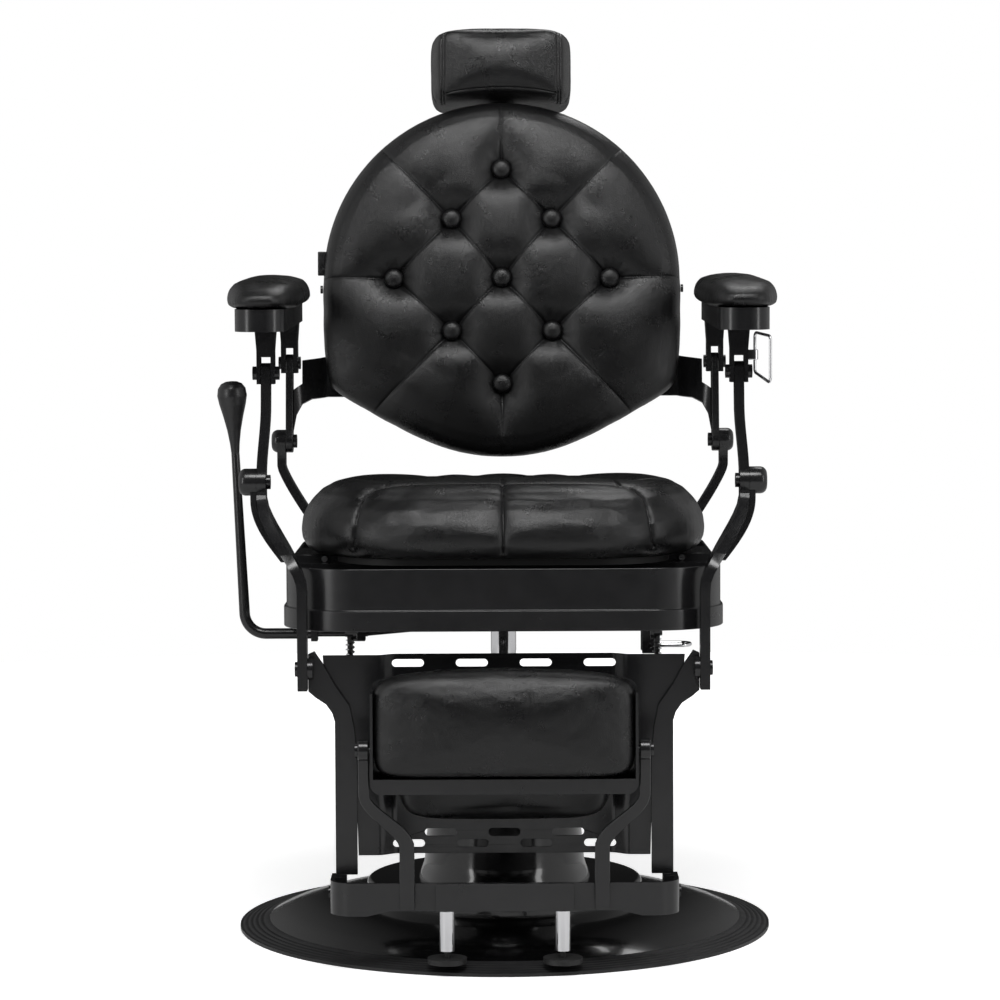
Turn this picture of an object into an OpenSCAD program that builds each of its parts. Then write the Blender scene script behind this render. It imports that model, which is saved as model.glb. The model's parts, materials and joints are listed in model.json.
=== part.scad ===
// Barber chair: round weighted base, hydraulic pump, swivelling seat, reclining tufted back,
// linked armrests and front levers, and a leg rest with a flip-up foot pad.
// Front of the chair faces -Y, +Z is up, the origin is the middle of the base's underside.

/* [Base] */
// Radius of the round base
base_r = 325; // [300:5:360]
// Radial width of the rubber rim
rim_w = 36; // [24:1:48]
// Height of the rim at its outer edge
rim_edge_h = 4; // [3:0.5:6]
// Height of the rim at its inner edge
rim_h = 11; // [9:0.5:14]
// Number of fine ridges on the rim
rim_ridges = 5; // [2:1:8]
// Thickness of the steel base plate
plate_t = 4; // [3:0.5:6]
// Radius of the raised drum of the dome
drum_r = 169; // [150:1:190]
// Height of the drum's top
drum_h = 58; // [50:1:70]
// Height at which the dome meets the drum
dome_h = 37; // [28:1:44]
// Wall of the dome
dome_t = 8; // [5:1:12]

/* [Pump] */
// Radius of the pump cover at its foot
bell_r = 105; // [90:1:115]
// Height of the pump cover's top
bell_h = 252; // [220:1:270]
// Wall of the pump cover
bell_t = 2.5; // [2:0.5:4]
// Radius of the chrome ram
ram_r = 15.5; // [12:0.5:20]
// Travel of the ram
lift_travel = 150; // [100:5:160]
// Radius of the oil tank round the cylinder
tank_r = 62; // [50:1:80]

/* [Seat] */
// Half width of the skirt at its top
skirt_hw = 254; // [245:1:262]
// Distance from the ram to the front of the skirt
skirt_front = 262; // [250:1:275]
// Distance from the ram to the rear of the skirt
skirt_rear = 228; // [215:1:240]
// Corner radius of the skirt
skirt_r = 84; // [78:1:88]
// Height of the skirt's lower edge
skirt_z = 388; // [380:1:396]
// Height of the step in the skirt
skirt_step_z = 412; // [406:1:418]
// Height of the skirt's upper edge
skirt_top_z = 460; // [456:1:466]
// Sheet thickness of the skirt
skirt_t = 3; // [2:0.5:4]
// How far the skirt's lower band stands proud
skirt_step = 3; // [2:0.5:4]
// Half width of the seat cushion
seat_hw = 243; // [235:1:250]
// Thickness of the seat cushion at its rim
seat_h = 80; // [66:1:84]

/* [Linkage] */
// Height of the front lever pivots
knob_z = 554; // [545:1:563]
// Distance of the front lever pivots in front of the ram
knob_y = 150; // [140:1:160]
// Height of the back hinge
hinge_z = 587.5; // [580:0.5:595]
// Distance of the back hinge behind the ram
hinge_y = 160; // [150:1:166]
// Length of the lever above its pivot
front_crank = 129; // [124:1:134]
// Length of the back bar above its hinge
rear_crank = 100; // [96:1:104]
// Lean of the back at rest
back_lean = 8; // [6:0.5:9]
// Half distance between the bars of the back
bar_x = 270.5; // [268:0.5:273]
// Thickness of the back bars
bar_t = 9; // [7:0.5:10]
// Half distance between the levers at their pivots
lever_x = 284; // [282:0.5:288]
// Half distance between the levers at their lower ends
lever_low_x = 231; // [228:0.5:234]
// Thickness of the levers
lever_t = 11; // [9:0.5:12]
// Depth of the levers from front to rear
lever_d = 24; // [20:1:25]
// Radius of the pivot pins
pin_r = 5; // [4:0.5:6]

/* [Back] */
// Radius of the round back cushion
back_r = 227; // [218:1:232]
// Height of the cushion's middle above the hinge, along the back
back_mid = 205; // [200:1:210]
// Thickness of the back cushion at its rim
back_h = 62; // [52:1:68]
// Crown of the back cushion
back_crown = 16; // [8:1:22]
// Radius of the cushion's buttons
button_r = 12; // [10:0.5:14]
// Sideways spacing of the buttons
button_x = 66; // [60:1:72]
// Upright spacing of the buttons
button_v = 68; // [62:1:72]

/* [Headrest] */
// Width of the headrest
head_w = 180; // [160:1:200]
// Height of the headrest
head_h = 98; // [88:1:106]
// Depth of the headrest
head_d = 88; // [76:1:96]
// Height of the headrest's lower edge above the hinge, along the back
head_v = 431; // [430:1:440]
// Travel of the headrest on its post
head_travel = 90; // [60:5:100]

/* [Armrests] */
// Half distance between the armrests
arm_x = 282; // [279:0.5:285]
// Width of the armrest plates
arm_w = 60; // [54:1:66]
// Length of the armrest plates
arm_l = 366; // [340:2:380]
// Thickness of the armrest plates
arm_t = 26; // [20:1:30]
// Height of the plates' underside above the front clevis
arm_drop = 51; // [46:1:56]
// Upward tilt of the armrests toward the rear
arm_tilt = 1.5; // [0:0.5:3]
// Width of the armrest pads
pad_w = 90; // [80:1:96]
// Thickness of the armrest pads
pad_h = 38; // [30:1:44]

/* [Leg rest] */
// Height of the leg rest's upper pivot
calf_z = 345; // [340:1:350]
// Distance of the upper pivot in front of the ram
calf_y = 260; // [259:1:264]
// Half distance between the side plates' outer edges
side_hw = 195; // [190:1:200]
// Width of the side plates
side_w = 25; // [20:1:30]
// Thickness of the side plates
side_t = 8; // [6:0.5:10]
// Height of the calf panel's upper edge
panel_top_z = 359; // [356:1:364]
// Height of the calf panel's lower edge
panel_low_z = 126; // [120:1:132]
// Half width of the calf panel at its lower edge
panel_low_hw = 169; // [164:1:174]
// Sheet thickness of the calf panel
panel_t = 3; // [2:0.5:4]
// Spacing of the slots in the calf panel
slot_pitch = 74; // [68:1:78]
// Length of a slot
slot_l = 37; // [30:1:42]
// Height of a slot
slot_h = 9; // [7:0.5:11]
// Half width of the fixed calf cushion
calf_hw = 122; // [112:1:128]
// Height of the foot bracket's lower edge
strap_z = 67; // [62:1:72]
// Height of the foot bracket's strap
strap_h = 38; // [32:1:42]
// Half width of the flip pad's tray
tray_hw = 150.5; // [144:0.5:151]
// Height of the flip pad's pivot
flip_z = 262; // [256:1:268]
// Distance of the flip pad's pivot in front of the ram
flip_y = 338; // [334:1:344]
// Distance of the feet in front of the ram
foot_y = 306; // [302:1:310]
// Half distance between the feet
foot_x = 66; // [58:1:72]
// Radius of the chrome foot posts
post_r = 8.6; // [7:0.2:10]

/* [Hand levers] */
// Height of the hand lever's shaft
shaft_z = 362; // [358:1:366]
// Distance of the shaft in front of the ram
shaft_y = 30; // [20:1:40]
// Radius of the hand lever's rod
rod_r = 6.5; // [5:0.5:8]
// Height of the hand lever's rod above its shaft
rod_h = 296; // [270:2:310]
// Half distance to the hand lever's rod at its bend
rod_x = 315; // [310:1:320]
// Widest radius of the hand lever's grip
grip_r = 18; // [15:0.5:20]

/* [Hidden] */
$fn = 64;

// Clearances and overrun
cut = 1;
run = 0.05;
gap = 0.3;
side_gap = 1;

// Small steps shared by bosses, bolt heads and rounded ends
boss_step = 4;
head_t = 3;

// Heights and radii that follow from the base
rim_in = base_r - rim_w;
cylinder_r = 36;
cylinder_z = bell_h + 6;
collar_h = 14;
tank_z = 190;
bell_waist_r = bell_r - 7;
bell_top_r = cylinder_r + 6;
bell_foot_h = 24;
bell_fillet = 34;
ram_z = cylinder_z - lift_travel - 40;
head_z = skirt_z + 6;
flange_r = 40;
flange_h = 8;
spigot_r = 12;
bearing_h = 6;
socket_r = 34;

// Seat frame heights
beam_z = 421;
beam_top = skirt_top_z;
beam_w = 40;
socket_z = head_z + flange_h + bearing_h + gap;
mid_beam_w = 100;
rail_x = 120;
rail_w = 30;
board_hw = 196;
board_t = 8;
board_z = beam_top + gap;
seat_z = board_z + board_t + gap;
seat_front = skirt_front - 1;
seat_rear = skirt_rear - 16;

// Uprights that carry the levers and the back
hub_r = 16;
rear_hub_r = 14.5;
hub_l = 21;
rear_hub_l = 18;
upright_t = 7;
upright_d = 24;
foot_h = board_t;
foot_in_x = 206;
rear_foot_x = 222;
front_beam_y = -165;
rear_beam_y = 160;
pin_head_r = 8.5;
pin_head_h = 4.5;

// Back frame, measured along the leaning back
clevis_r = 11;
board_back_t = 10;
strap_t = 6;
board_share = 0.86;
shell_t = 17;
shell_share = 0.9;
pad_rear_y = 22;
strap_y = pad_rear_y + board_back_t;
post_w = 32;
post_t = 8;
socket_drop = 101;
socket_v = head_v - socket_drop;
socket_h = 70;
socket_wall = 6;
post_v = socket_v - 90;
post_y = strap_y + strap_t + shell_t + socket_wall + gap + post_t / 2;

// Armrest posts
fork_w = 25;
fork_low_w = 21;
fork_d = 24;
boss_r = 8;
arm_pin_play = 1.9;
front_clevis_y = -knob_y + front_crank * sin(back_lean);
front_clevis_z = knob_z + front_crank * cos(back_lean);
rear_clevis_y = hinge_y + rear_crank * sin(back_lean);
rear_clevis_z = hinge_z + rear_crank * cos(back_lean);
clevis_x = 279;

// Leg rest linkage
calf_pin_x = lever_low_x - lever_t / 2 - gap;
tab_t = 6;
link_y = -220;
link_z = 384;
link_x = 178;
link_t = 7;
link_rod_r = 3.3;
link_r = 4;
link_end_y = link_y;
link_end_z = 250;
guide_x = link_x + link_t / 2 + head_t;
guide_t = 4;
guide_w = 28;
slot_dip = 3;
slot_travel = 59;
slot_play = 1.4;
panel_y = -243;
panel_recess = 13;
wing_x = 146;
calf_pad_h = 30;
calf_pad_low = 42;
calf_pad_top = 34;
wing_h = 100;

// Foot bracket and flip pad
strap_plate = 5;
strap_end_y = -240;
strap_front_y = -foot_y;
strap_corner = 26;
narrow = 6;
plate_hw = 79;
foot_arm_t = 8;
arm_low_x = 111;
arm_top_w = 12.4;
arm_top_x = tray_hw + arm_top_w / 2 + 1.9;
arm_low_w = 17;
eye_r = 12;
neck_r = 3.2;
glide_r = 22.5;
glide_h = 6;
glide_z = dome_z(norm([foot_x, foot_y]) - glide_r) + 2;
post_low_z = glide_z + glide_h + 8;
tray_t = 3;
tray_low = 48;
tray_top = 78;
tray_rear = 20;
tray_front = 18;
lip_h = 17;
flip_pad_h = 44;

function ease(t) = let (u = min(max(t, 0), 1)) u * u * (3 - 2 * u);
function mix(a, b, t) = a + (b - a) * t;
function power(v, k) = sign(v) * pow(abs(v), k);
function squircle(a, hx, hy, k) = [hx * power(cos(a), 2 / k), hy * power(sin(a), 2 / k)];
function unit(v) = v / norm(v);
function clamp_index(i, n) = min(max(i, 0), n - 1);
// Unit normal of a path at point i
function normal(p, i) =
    let (d = unit(p[clamp_index(i + 1, len(p))] - p[clamp_index(i - 1, len(p))])) [-d[1], d[0]];
// Closed outline of a band whose half width may change along its path
function band(p, half) = concat(
    [for (i = [0:len(p) - 1]) p[i] + normal(p, i) * half[min(i, len(half) - 1)]],
    [for (i = [len(p) - 1:-1:0]) p[i] - normal(p, i) * half[min(i, len(half) - 1)]]);
// The same points on the other side of the middle, in the opposite order
function flipped(p) = [for (i = [len(p) - 1:-1:0]) [-p[i][0], p[i][1]]];
// Distance from a point to a segment
function off_line(p, a, b) =
    let (d = b - a, t = min(max((p - a) * d / (d * d), 0), 1)) norm(p - a - d * t);
function dimple(d, width) = exp(-d * d / (2 * width * width));

module pair() {
    children();
    mirror([1, 0, 0]) children();
}
module rod(x0, x1, y, z, r) {
    translate([x0, y, z]) rotate([0, 90, 0]) cylinder(h = x1 - x0, r = r);
}
module slab(x0, x1, y0, y1, z0, z1) {
    translate([x0, y0, z0]) cube([x1 - x0, y1 - y0, z1 - z0]);
}
module rounded_square(w, d, r) {
    square([w - 2 * r, d], center = true);
    square([w, d - 2 * r], center = true);
    for (x = [-1, 1], y = [-1, 1]) translate([x * (w / 2 - r), y * (d / 2 - r)]) circle(r);
}
module obround(l, h) {
    square([l - h, h], center = true);
    for (x = [-1, 1]) translate([x * (l - h) / 2, 0]) circle(h / 2, $fn = 24);
}
// Front outline pushed back through the chair, and side outline pushed across it
module front_cut(y0, y1) translate([0, y1, 0]) rotate([90, 0, 0]) linear_extrude(y1 - y0) children();
module side_cut(x0, x1) translate([x0, 0, 0]) rotate([90, 0, 90]) linear_extrude(x1 - x0) children();
// Turns a flat drawing's height toward the front of the chair
module facing() rotate([90, 0, 0]) children();
module leaning() translate([0, hinge_y, hinge_z]) rotate([-back_lean, 0, 0]) children();

// Closed skin over a stack of rings, with a middle point at each end
module lofted(rings, low, high) {
    n = len(rings[0]);
    last = len(rings) - 1;
    function at(j, i) = 2 + j * n + i % n;
    polyhedron(concat([low, high], [for (ring = rings) each ring]), concat(
        [for (i = [0:n - 1]) [0, at(0, i), at(0, i + 1)]],
        [for (j = [0:last - 1], i = [0:n - 1]) each [
            [at(j, i), at(j + 1, i), at(j + 1, i + 1)], [at(j, i), at(j + 1, i + 1), at(j, i + 1)]]],
        [for (i = [0:n - 1]) [1, at(last, i + 1), at(last, i)]]));
}
// Upholstered pad: sides given by [share of the outline, share of the height], then a crowned top
module cushion(outline, sides, steps, h, crown, dent, n) {
    top_share = sides[len(sides) - 1][0];
    function skin(p, s) = h + crown * (1 - pow(s / top_share, 2)) - dent(p);
    lofted(concat(
        [for (row = sides) [for (i = [0:n - 1]) let (p = outline(i * 360 / n) * row[0])
            [p[0], p[1], row[1] * (h - row[1] * dent(p))]]],
        [for (j = [1:steps - 1]) let (s = top_share * (1 - j / steps))
            [for (i = [0:n - 1]) let (p = outline(i * 360 / n) * s) [p[0], p[1], skin(p, s)]]]),
        [0, 0, 0], [0, 0, skin([0, 0], 0)]);
}

// Base

module base_rim() {
    taper = (rim_h - rim_edge_h) / rim_w;
    ridge = rim_w / rim_ridges / 6;
    pitch = (rim_w - 4 * ridge) / rim_ridges;
    color("dimgray") rotate_extrude($fn = 128) polygon(concat(
        [[rim_in, 0], [base_r, 0], [base_r, rim_edge_h]],
        [for (i = [0:rim_ridges - 1], k = [0:3])
            let (r = base_r - ridge - i * pitch - k * ridge, low = k == 1 || k == 2 ? ridge / 2 : 0)
            [r, rim_edge_h + (base_r - r) * taper - low]],
        [[rim_in, rim_h]]));
}
module base_plate() {
    color("black") difference() {
        cylinder(h = plate_t, r = rim_in, $fn = 128);
        translate([0, 0, -cut]) cylinder(h = plate_t + 2 * cut, r = spigot_r);
    }
}
// Height of the dome: it rises steeply at the rim and more gently toward the drum
function dome_z(r) = rim_h + (dome_h - rim_h) * pow(sin(90 * max(rim_in - r, 0) / (rim_in - drum_r)), 0.8);
module base_dome() {
    shoulder = 6;
    dome_line = [for (t = [0:0.125:1]) let (r = mix(rim_in, drum_r, t)) [r, dome_z(r)]];
    color("black") rotate_extrude($fn = 128) difference() {
        union() {
            polygon(concat([[cylinder_r + run, plate_t], [rim_in, plate_t]], dome_line,
                [[cylinder_r + run, dome_h]]));
            translate([cylinder_r + run, dome_h - cut])
                square([drum_r - shoulder - cylinder_r - run, drum_h - dome_h + cut]);
            translate([cylinder_r + run, dome_h - cut])
                square([drum_r - cylinder_r - run, drum_h - dome_h - shoulder + cut]);
            translate([drum_r - shoulder, drum_h - shoulder]) circle(shoulder);
        }
        polygon([[cylinder_r + run + dome_t, plate_t - cut], [rim_in - 3 * dome_t, plate_t - cut],
            [rim_in - 3 * dome_t, plate_t], [drum_r - dome_t, dome_h - dome_t],
            [drum_r - 2 * dome_t, drum_h - dome_t], [cylinder_r + run + dome_t, drum_h - dome_t]]);
    }
}

// Pump

module pump_cylinder() {
    color("dimgray") difference() {
        union() {
            translate([0, 0, plate_t]) cylinder(h = cylinder_z - plate_t, r = cylinder_r);
            translate([0, 0, drum_h]) cylinder(h = tank_z - drum_h, r = tank_r);
        }
        translate([0, 0, plate_t + ram_r]) cylinder(h = cylinder_z, r = ram_r + run);
    }
}
module pump_cover() {
    wall = bell_h - bell_fillet;
    function side(t) = mix(bell_waist_r, bell_waist_r - 12, t);
    outer = concat([[bell_r, drum_h]],
        [for (t = [0.2:0.2:1]) [bell_r - (bell_r - bell_waist_r) * ease(t), drum_h + bell_foot_h * t]],
        [[side(1), wall]],
        [for (a = [15:15:90]) [mix(side(1), bell_top_r, 1 - cos(a)), wall + bell_fillet * sin(a)]]);
    inner = [for (p = outer) [max(p[0] - bell_t, cylinder_r + gap), min(p[1], bell_h - bell_t)]];
    color("black") rotate_extrude($fn = 128) polygon(concat(outer, [[cylinder_r + gap, bell_h]],
        [for (i = [len(inner) - 1:-1:0]) inner[i]]));
}
module pump_collar() {
    color("black") difference() {
        union() {
            translate([0, 0, bell_h]) cylinder(h = cylinder_z - bell_h, r = bell_top_r);
            translate([0, 0, cylinder_z - cut])
                cylinder(h = collar_h + cut, r1 = bell_top_r, r2 = ram_r + 2 * boss_step);
        }
        translate([0, 0, bell_h - cut]) cylinder(h = cylinder_z - bell_h + cut, r = cylinder_r);
        translate([0, 0, bell_h]) cylinder(h = 2 * collar_h + cylinder_z - bell_h, r = ram_r + run);
    }
}
module ram() {
    color("silver") translate([0, 0, ram_z]) cylinder(h = head_z - ram_z, r = ram_r);
}
module ram_head() {
    color("silver") translate([0, 0, head_z]) {
        cylinder(h = flange_h, r = flange_r);
        cylinder(h = beam_top - skirt_t - gap - head_z, r = spigot_r);
    }
}
module swivel_bearing() {
    color("silver") translate([0, 0, head_z + flange_h]) difference() {
        cylinder(h = bearing_h, r = socket_r);
        translate([0, 0, -cut]) cylinder(h = bearing_h + 2 * cut, r = spigot_r + gap);
    }
}

// Seat

module skirt_plan(grow) {
    w = 2 * (skirt_hw + grow);
    d = skirt_front + skirt_rear + 2 * grow;
    translate([0, (skirt_rear - skirt_front) / 2]) rounded_square(w, d, skirt_r + grow);
}
module seat_skirt() {
    color("dimgray") {
        translate([0, 0, skirt_z]) linear_extrude(skirt_step_z - skirt_z) difference() {
            skirt_plan(skirt_step);
            skirt_plan(-skirt_t);
        }
        translate([0, 0, skirt_step_z]) linear_extrude(skirt_top_z - skirt_step_z) difference() {
            skirt_plan(0);
            skirt_plan(-skirt_t);
        }
    }
}
// Bar across the seat, trimmed by the inside of the skirt
module crossbar(y, w) {
    translate([0, 0, beam_z]) linear_extrude(beam_top - beam_z) intersection() {
        translate([0, y]) square([2 * skirt_hw, w], center = true);
        skirt_plan(-skirt_t);
    }
}
module seat_crossbars() {
    color("dimgray") {
        crossbar(front_beam_y, beam_w);
        crossbar(rear_beam_y, beam_w);
        difference() {
            crossbar(0, mid_beam_w);
            translate([0, 0, beam_z - cut]) cylinder(h = beam_top, r = socket_r);
        }
    }
}
module seat_rails() {
    color("dimgray") for (x = [-rail_x, rail_x]) {
        slab(x - rail_w / 2, x + rail_w / 2, front_beam_y + beam_w / 2, -mid_beam_w / 2, beam_z, beam_top);
        slab(x - rail_w / 2, x + rail_w / 2, mid_beam_w / 2, rear_beam_y - beam_w / 2, beam_z, beam_top);
    }
}
module swivel_socket() {
    color("gray") difference() {
        translate([0, 0, socket_z]) cylinder(h = beam_top - socket_z, r = socket_r);
        translate([0, 0, socket_z - cut])
            cylinder(h = beam_top - socket_z - skirt_t + cut, r = spigot_r + run);
    }
}
module seat_board() {
    color("black") translate([0, (seat_rear - seat_front) / 2, board_z]) linear_extrude(board_t)
        rounded_square(2 * board_hw, seat_front + seat_rear - 2 * beam_w, skirt_r);
}
module seat_cushion() {
    half = (seat_front + seat_rear) / 2;
    roundness = 3.2;
    seam_x = 121;
    tuft_y = half / 5;
    sides_shares = [[0.93, 0], [0.965, 0.06], [0.992, 0.17], [1, 0.3], [0.99, 0.52], [0.96, 0.72],
        [0.91, 0.88], [0.84, 0.97]];
    tufts = [for (x = [-seam_x, 0, seam_x]) [x, -tuft_y], for (x = [-seam_x, seam_x] / 2) [x, 2 * tuft_y]];
    pairs = [for (t = tufts, u = tufts) if (norm(t - u) > 0 && norm(t - u) < 1.3 * seam_x) [t, u]];
    // Sewn seams between the tufts, and a top that falls away to the rear
    dent = function (p) seat_h * (0.07 * dimple(min([for (s = pairs) off_line(p, s[0], s[1])]), 11)
        + 0.16 * dimple(min([for (t = tufts) norm(p - t)]), 22) + 0.16 * ease(p[1] / half));
    color("black") translate([0, (seat_rear - seat_front) / 2, seat_z])
        cushion(function (a) squircle(a, seat_hw, half, roundness), sides_shares, 11, seat_h, 9, dent, 60);
}

// Uprights and pivots

// Round hub with a domed outer end
module knob(r, l) {
    round = 2 * boss_step;
    rotate_extrude() polygon(concat([[0, 0], [r, 0]],
        [for (a = [0:15:90]) [r - round + round * cos(a), l - round + round * sin(a)]], [[0, l]]));
}
// Bent upright: a foot on the crossbar, then a bar that swings out to its hub along a curve
module upright(x_foot, x_hub, y, z_hub, r_hub, l_hub, w, curve) {
    path = [for (t = [0:0.04:1]) [mix(x_foot, x_hub + w / 2, curve(t)), mix(beam_top, z_hub, t)]];
    difference() {
        union() {
            intersection() {
                front_cut(y - upright_d / 2, y + upright_d / 2) polygon(band(path, [w / 2]));
                slab(0, 2 * x_hub, y - upright_d, y + upright_d, beam_top, z_hub);
            }
            slab(foot_in_x, x_foot + w / 2, y - upright_d / 2, y + upright_d / 2, beam_top,
                beam_top + foot_h);
            translate([x_hub, y, z_hub]) rotate([0, 90, 0]) knob(r_hub, l_hub);
        }
        rod(x_hub - cut, x_hub + l_hub / 2, y, z_hub, pin_r);
    }
}
front_hub_x = lever_x + lever_t / 2 + gap;
rear_hub_x = bar_x + bar_t / 2 + gap;
module front_uprights() {
    curve = function (t) sin(90 * min(t / 0.78, 1));
    color("dimgray") pair()
        upright(skirt_hw + head_t, front_hub_x, -knob_y, knob_z, hub_r, hub_l, upright_t, curve);
}
module rear_uprights() {
    curve = function (t) 1 - pow(max(1 - t / 0.75, 0), 1.2);
    color("dimgray") pair()
        upright(rear_foot_x, rear_hub_x, hinge_y, hinge_z, rear_hub_r, rear_hub_l, 1.5 * upright_t, curve);
}
module upright_screws() {
    screw_r = 3.5;
    color("silver") pair() for (y = [-knob_y, hinge_y])
        translate([foot_in_x + foot_h / 2, y - upright_d / 2, beam_top + foot_h / 2]) facing()
            cylinder(h = head_t, r = screw_r, $fn = 32);
}
// Pin through a bar of thickness t, seated in the hub, with a round head on the bar's inner face
module pivot_pin(x, t, hub, y, z) {
    color("dimgray") {
        rod(x - t / 2 - gap, hub + 2 * head_t, y, z, pin_r);
        rod(x - t / 2 - gap - pin_head_h, x - t / 2 - gap, y, z, pin_head_r);
    }
}
module front_pivot_pins() {
    pair() pivot_pin(lever_x, lever_t, front_hub_x, -knob_y, knob_z);
}
module rear_pivot_pins() {
    pair() pivot_pin(bar_x, bar_t, rear_hub_x, hinge_y, hinge_z);
}

// Brackets under the seat

module link_brackets() {
    t = 4;
    w = 20;
    x = link_x - link_t / 2 - gap - t;
    head_x = link_x + link_t / 2 + gap;
    color("dimgray") pair() {
        slab(x, x + t, link_y - w / 2, front_beam_y - beam_w / 2, link_z, beam_top - foot_h);
        rod(x, x + t, link_y, link_z, w / 2);
        rod(x + t - cut, head_x, link_y, link_z, link_r);
        rod(head_x, head_x + t / 2, link_y, link_z, link_r + t / 2);
    }
}
bearing_x = [190, 234];
bearing_t = [22, 8];
block_h = 9;
shaft_r = 4;
module lever_bearings() {
    color("black") for (i = [0, 1]) difference() {
        slab(-bearing_x[i], bearing_t[i] - bearing_x[i], -shaft_y - block_h, -shaft_y + block_h,
            shaft_z - block_h, beam_z);
        rod(-2 * skirt_hw, 0, -shaft_y, shaft_z, shaft_r + run);
    }
}
handle_x = [171, 219];
handle_r = 2.5;
handle_w = 22;
handle_pin_l = 38;
module release_bracket() {
    t = 3;
    color("black") for (y = [-handle_pin_l / 2, handle_pin_l / 2 - t]) difference() {
        slab(handle_x[0] - block_h, handle_x[0] + block_h, front_beam_y + y, front_beam_y + y + t,
            shaft_z - block_h, beam_z);
        translate([handle_x[0], front_beam_y + y + t + cut, shaft_z]) facing()
            cylinder(h = t + 2 * cut, r = handle_r + 0.5 + run);
    }
}
// Loop of chrome rod on a cross pin that turns in the bracket's cheeks
module release_handle() {
    end_x = handle_x[1] - handle_w / 2;
    color("silver") {
        for (y = [-1, 1]) rod(handle_x[0], end_x, front_beam_y + y * handle_w / 2, shaft_z, handle_r);
        translate([end_x, front_beam_y, shaft_z]) rotate([0, 0, -90]) rotate_extrude(angle = 180)
            translate([handle_w / 2, 0]) circle(handle_r, $fn = 24);
        translate([handle_x[0], front_beam_y + handle_pin_l / 2 + cut, shaft_z]) facing()
            cylinder(h = handle_pin_l + 2 * cut, r = handle_r + 0.5);
    }
}

// Hand lever

rod_bend = 26;
rod_lean = atan(12 / 250);
grip_l = 88;
grip_z = rod_h - rod_bend - 0.85 * grip_l;
// Frame at the middle of the rod's bend, tilted with the rod
module rod_middle() {
    translate([-rod_x + rod_bend, 0, shaft_z + rod_bend]) rotate([0, -rod_lean, 0]) children();
}
module hand_lever() {
    arm_l = 84;
    arm_rise = 5;
    shaft_end = bearing_t[0] - bearing_x[0];
    color("black") translate([0, -shaft_y, 0]) {
        rod_middle() {
            translate([-rod_bend, 0, 0]) cylinder(h = grip_z, r1 = rod_r, r2 = rod_r - 1.5);
            rotate([90, 180, 0]) rotate_extrude(angle = 90 - rod_lean) translate([rod_bend, 0]) circle(rod_r);
        }
        rod(-rod_x + rod_bend, -bearing_x[1] - gap, 0, shaft_z, rod_r);
        rod(-bearing_x[1] - cut, shaft_end + head_t, 0, shaft_z, shaft_r);
        // Arm from the shaft toward the pump's head
        translate([shaft_end + 1, 0, shaft_z]) rotate([0, 90 - arm_rise, 0])
            cylinder(h = arm_l, r = shaft_r - 0.5);
    }
}
module hand_lever_grip() {
    // Teardrop: a ball that narrows to the rod
    drop_shares = [[0.27, 0], [0.33, 0.14], [0.46, 0.32], [0.68, 0.52], [0.89, 0.68], [1, 0.8], [0.93, 0.9],
        [0.7, 0.965], [0.36, 0.995]];
    color("black") translate([0, -shaft_y, 0]) rod_middle() translate([-rod_bend, 0, grip_z])
        rotate_extrude($fn = 48) polygon(concat([[0, 0]],
            [for (p = drop_shares) [p[0] * grip_r, p[1] * grip_l]], [[0, grip_l]]));
}

// Back, drawn upright about its hinge and then leaned

// Share of the radius: round above, with shoulders low on each side
function back_share(a) = let (low = a > 180 ? (a < 270 ? a - 180 : 360 - a) : 0)
    lookup(low, [[0, 1], [10, 1.015], [18, 1.05], [25, 1.09], [30, 1.125], [33, 1.13], [36, 1.11],
        [44, 1.055], [54, 1.018], [64, 1.005], [90, 1]]);
function back_outline(a) = back_r * back_share(a) * [cos(a), sin(a)];
row_shares = [-2, -1.02, -0.03, 1.08, 2.02];
buttons = [for (row = [-2:2], k = [-2:2]) if ((row + k) % 2 == 0 && abs(row) + abs(k) <= 2)
    [k * button_x * (abs(k) == 2 ? 1.035 : 0.96), row_shares[row + 2] * button_v]];
well = 15;
// Height at which a button sits in its well
function button_seat(b) = back_h + back_crown * (1 - pow(norm(b) / back_r / 0.93, 2)) - 1.4 * well;
module back_cushion() {
    sides_shares = [[0.9, 0], [0.95, 0.08], [0.985, 0.25], [1, 0.45], [0.995, 0.65], [0.972, 0.83],
        [0.93, 0.95]];
    near = 1.6 * button_x;
    // Seams that run from the outer buttons to the rim
    rays = [for (b = buttons) if (norm(b) > near) [b, 1.7 * b]];
    seams = concat([for (b = buttons, c = buttons) if (norm(b - c) > 0 && norm(b - c) < near) [b, c]], rays);
    dent = function (p)
        3.5 * dimple(min([for (s = seams) off_line(p, s[0], s[1])]), 9)
        + well * dimple(min([for (b = buttons) norm(p - b)]), 17);
    color("black") leaning() translate([0, pad_rear_y, back_mid]) facing() difference() {
        cushion(function (a) back_outline(a), sides_shares, 13, back_h, back_crown, dent, 56);
        for (b = buttons) translate([b[0], b[1], button_seat(b)])
            cylinder(h = 4 * well, r = button_r + gap, $fn = 24);
    }
}
module back_buttons() {
    h = well / 2;
    color("black") leaning() translate([0, pad_rear_y, back_mid]) facing() for (b = buttons)
        translate([b[0], b[1], button_seat(b)]) {
            cylinder(h = h, r = button_r, $fn = 32);
            translate([0, 0, h]) cylinder(h = h / 3, r1 = button_r, r2 = 0.7 * button_r, $fn = 32);
        }
}
module back_board() {
    color("burlywood") leaning() translate([0, strap_y, back_mid]) facing() linear_extrude(board_back_t)
        polygon([for (a = [0:7.5:359]) board_share * back_outline(a)]);
}
module back_shell() {
    flat_r = shell_share * back_r - shell_t;
    color("black") leaning() translate([0, strap_y + strap_t + shell_t, back_mid]) facing()
        rotate_extrude($fn = 96) polygon(concat([[0, 0], [flat_r, 0]],
            [for (a = [15:15:90]) [flat_r + shell_t * sin(a), shell_t * (1 - cos(a))]], [[0, shell_t]]));
}
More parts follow.
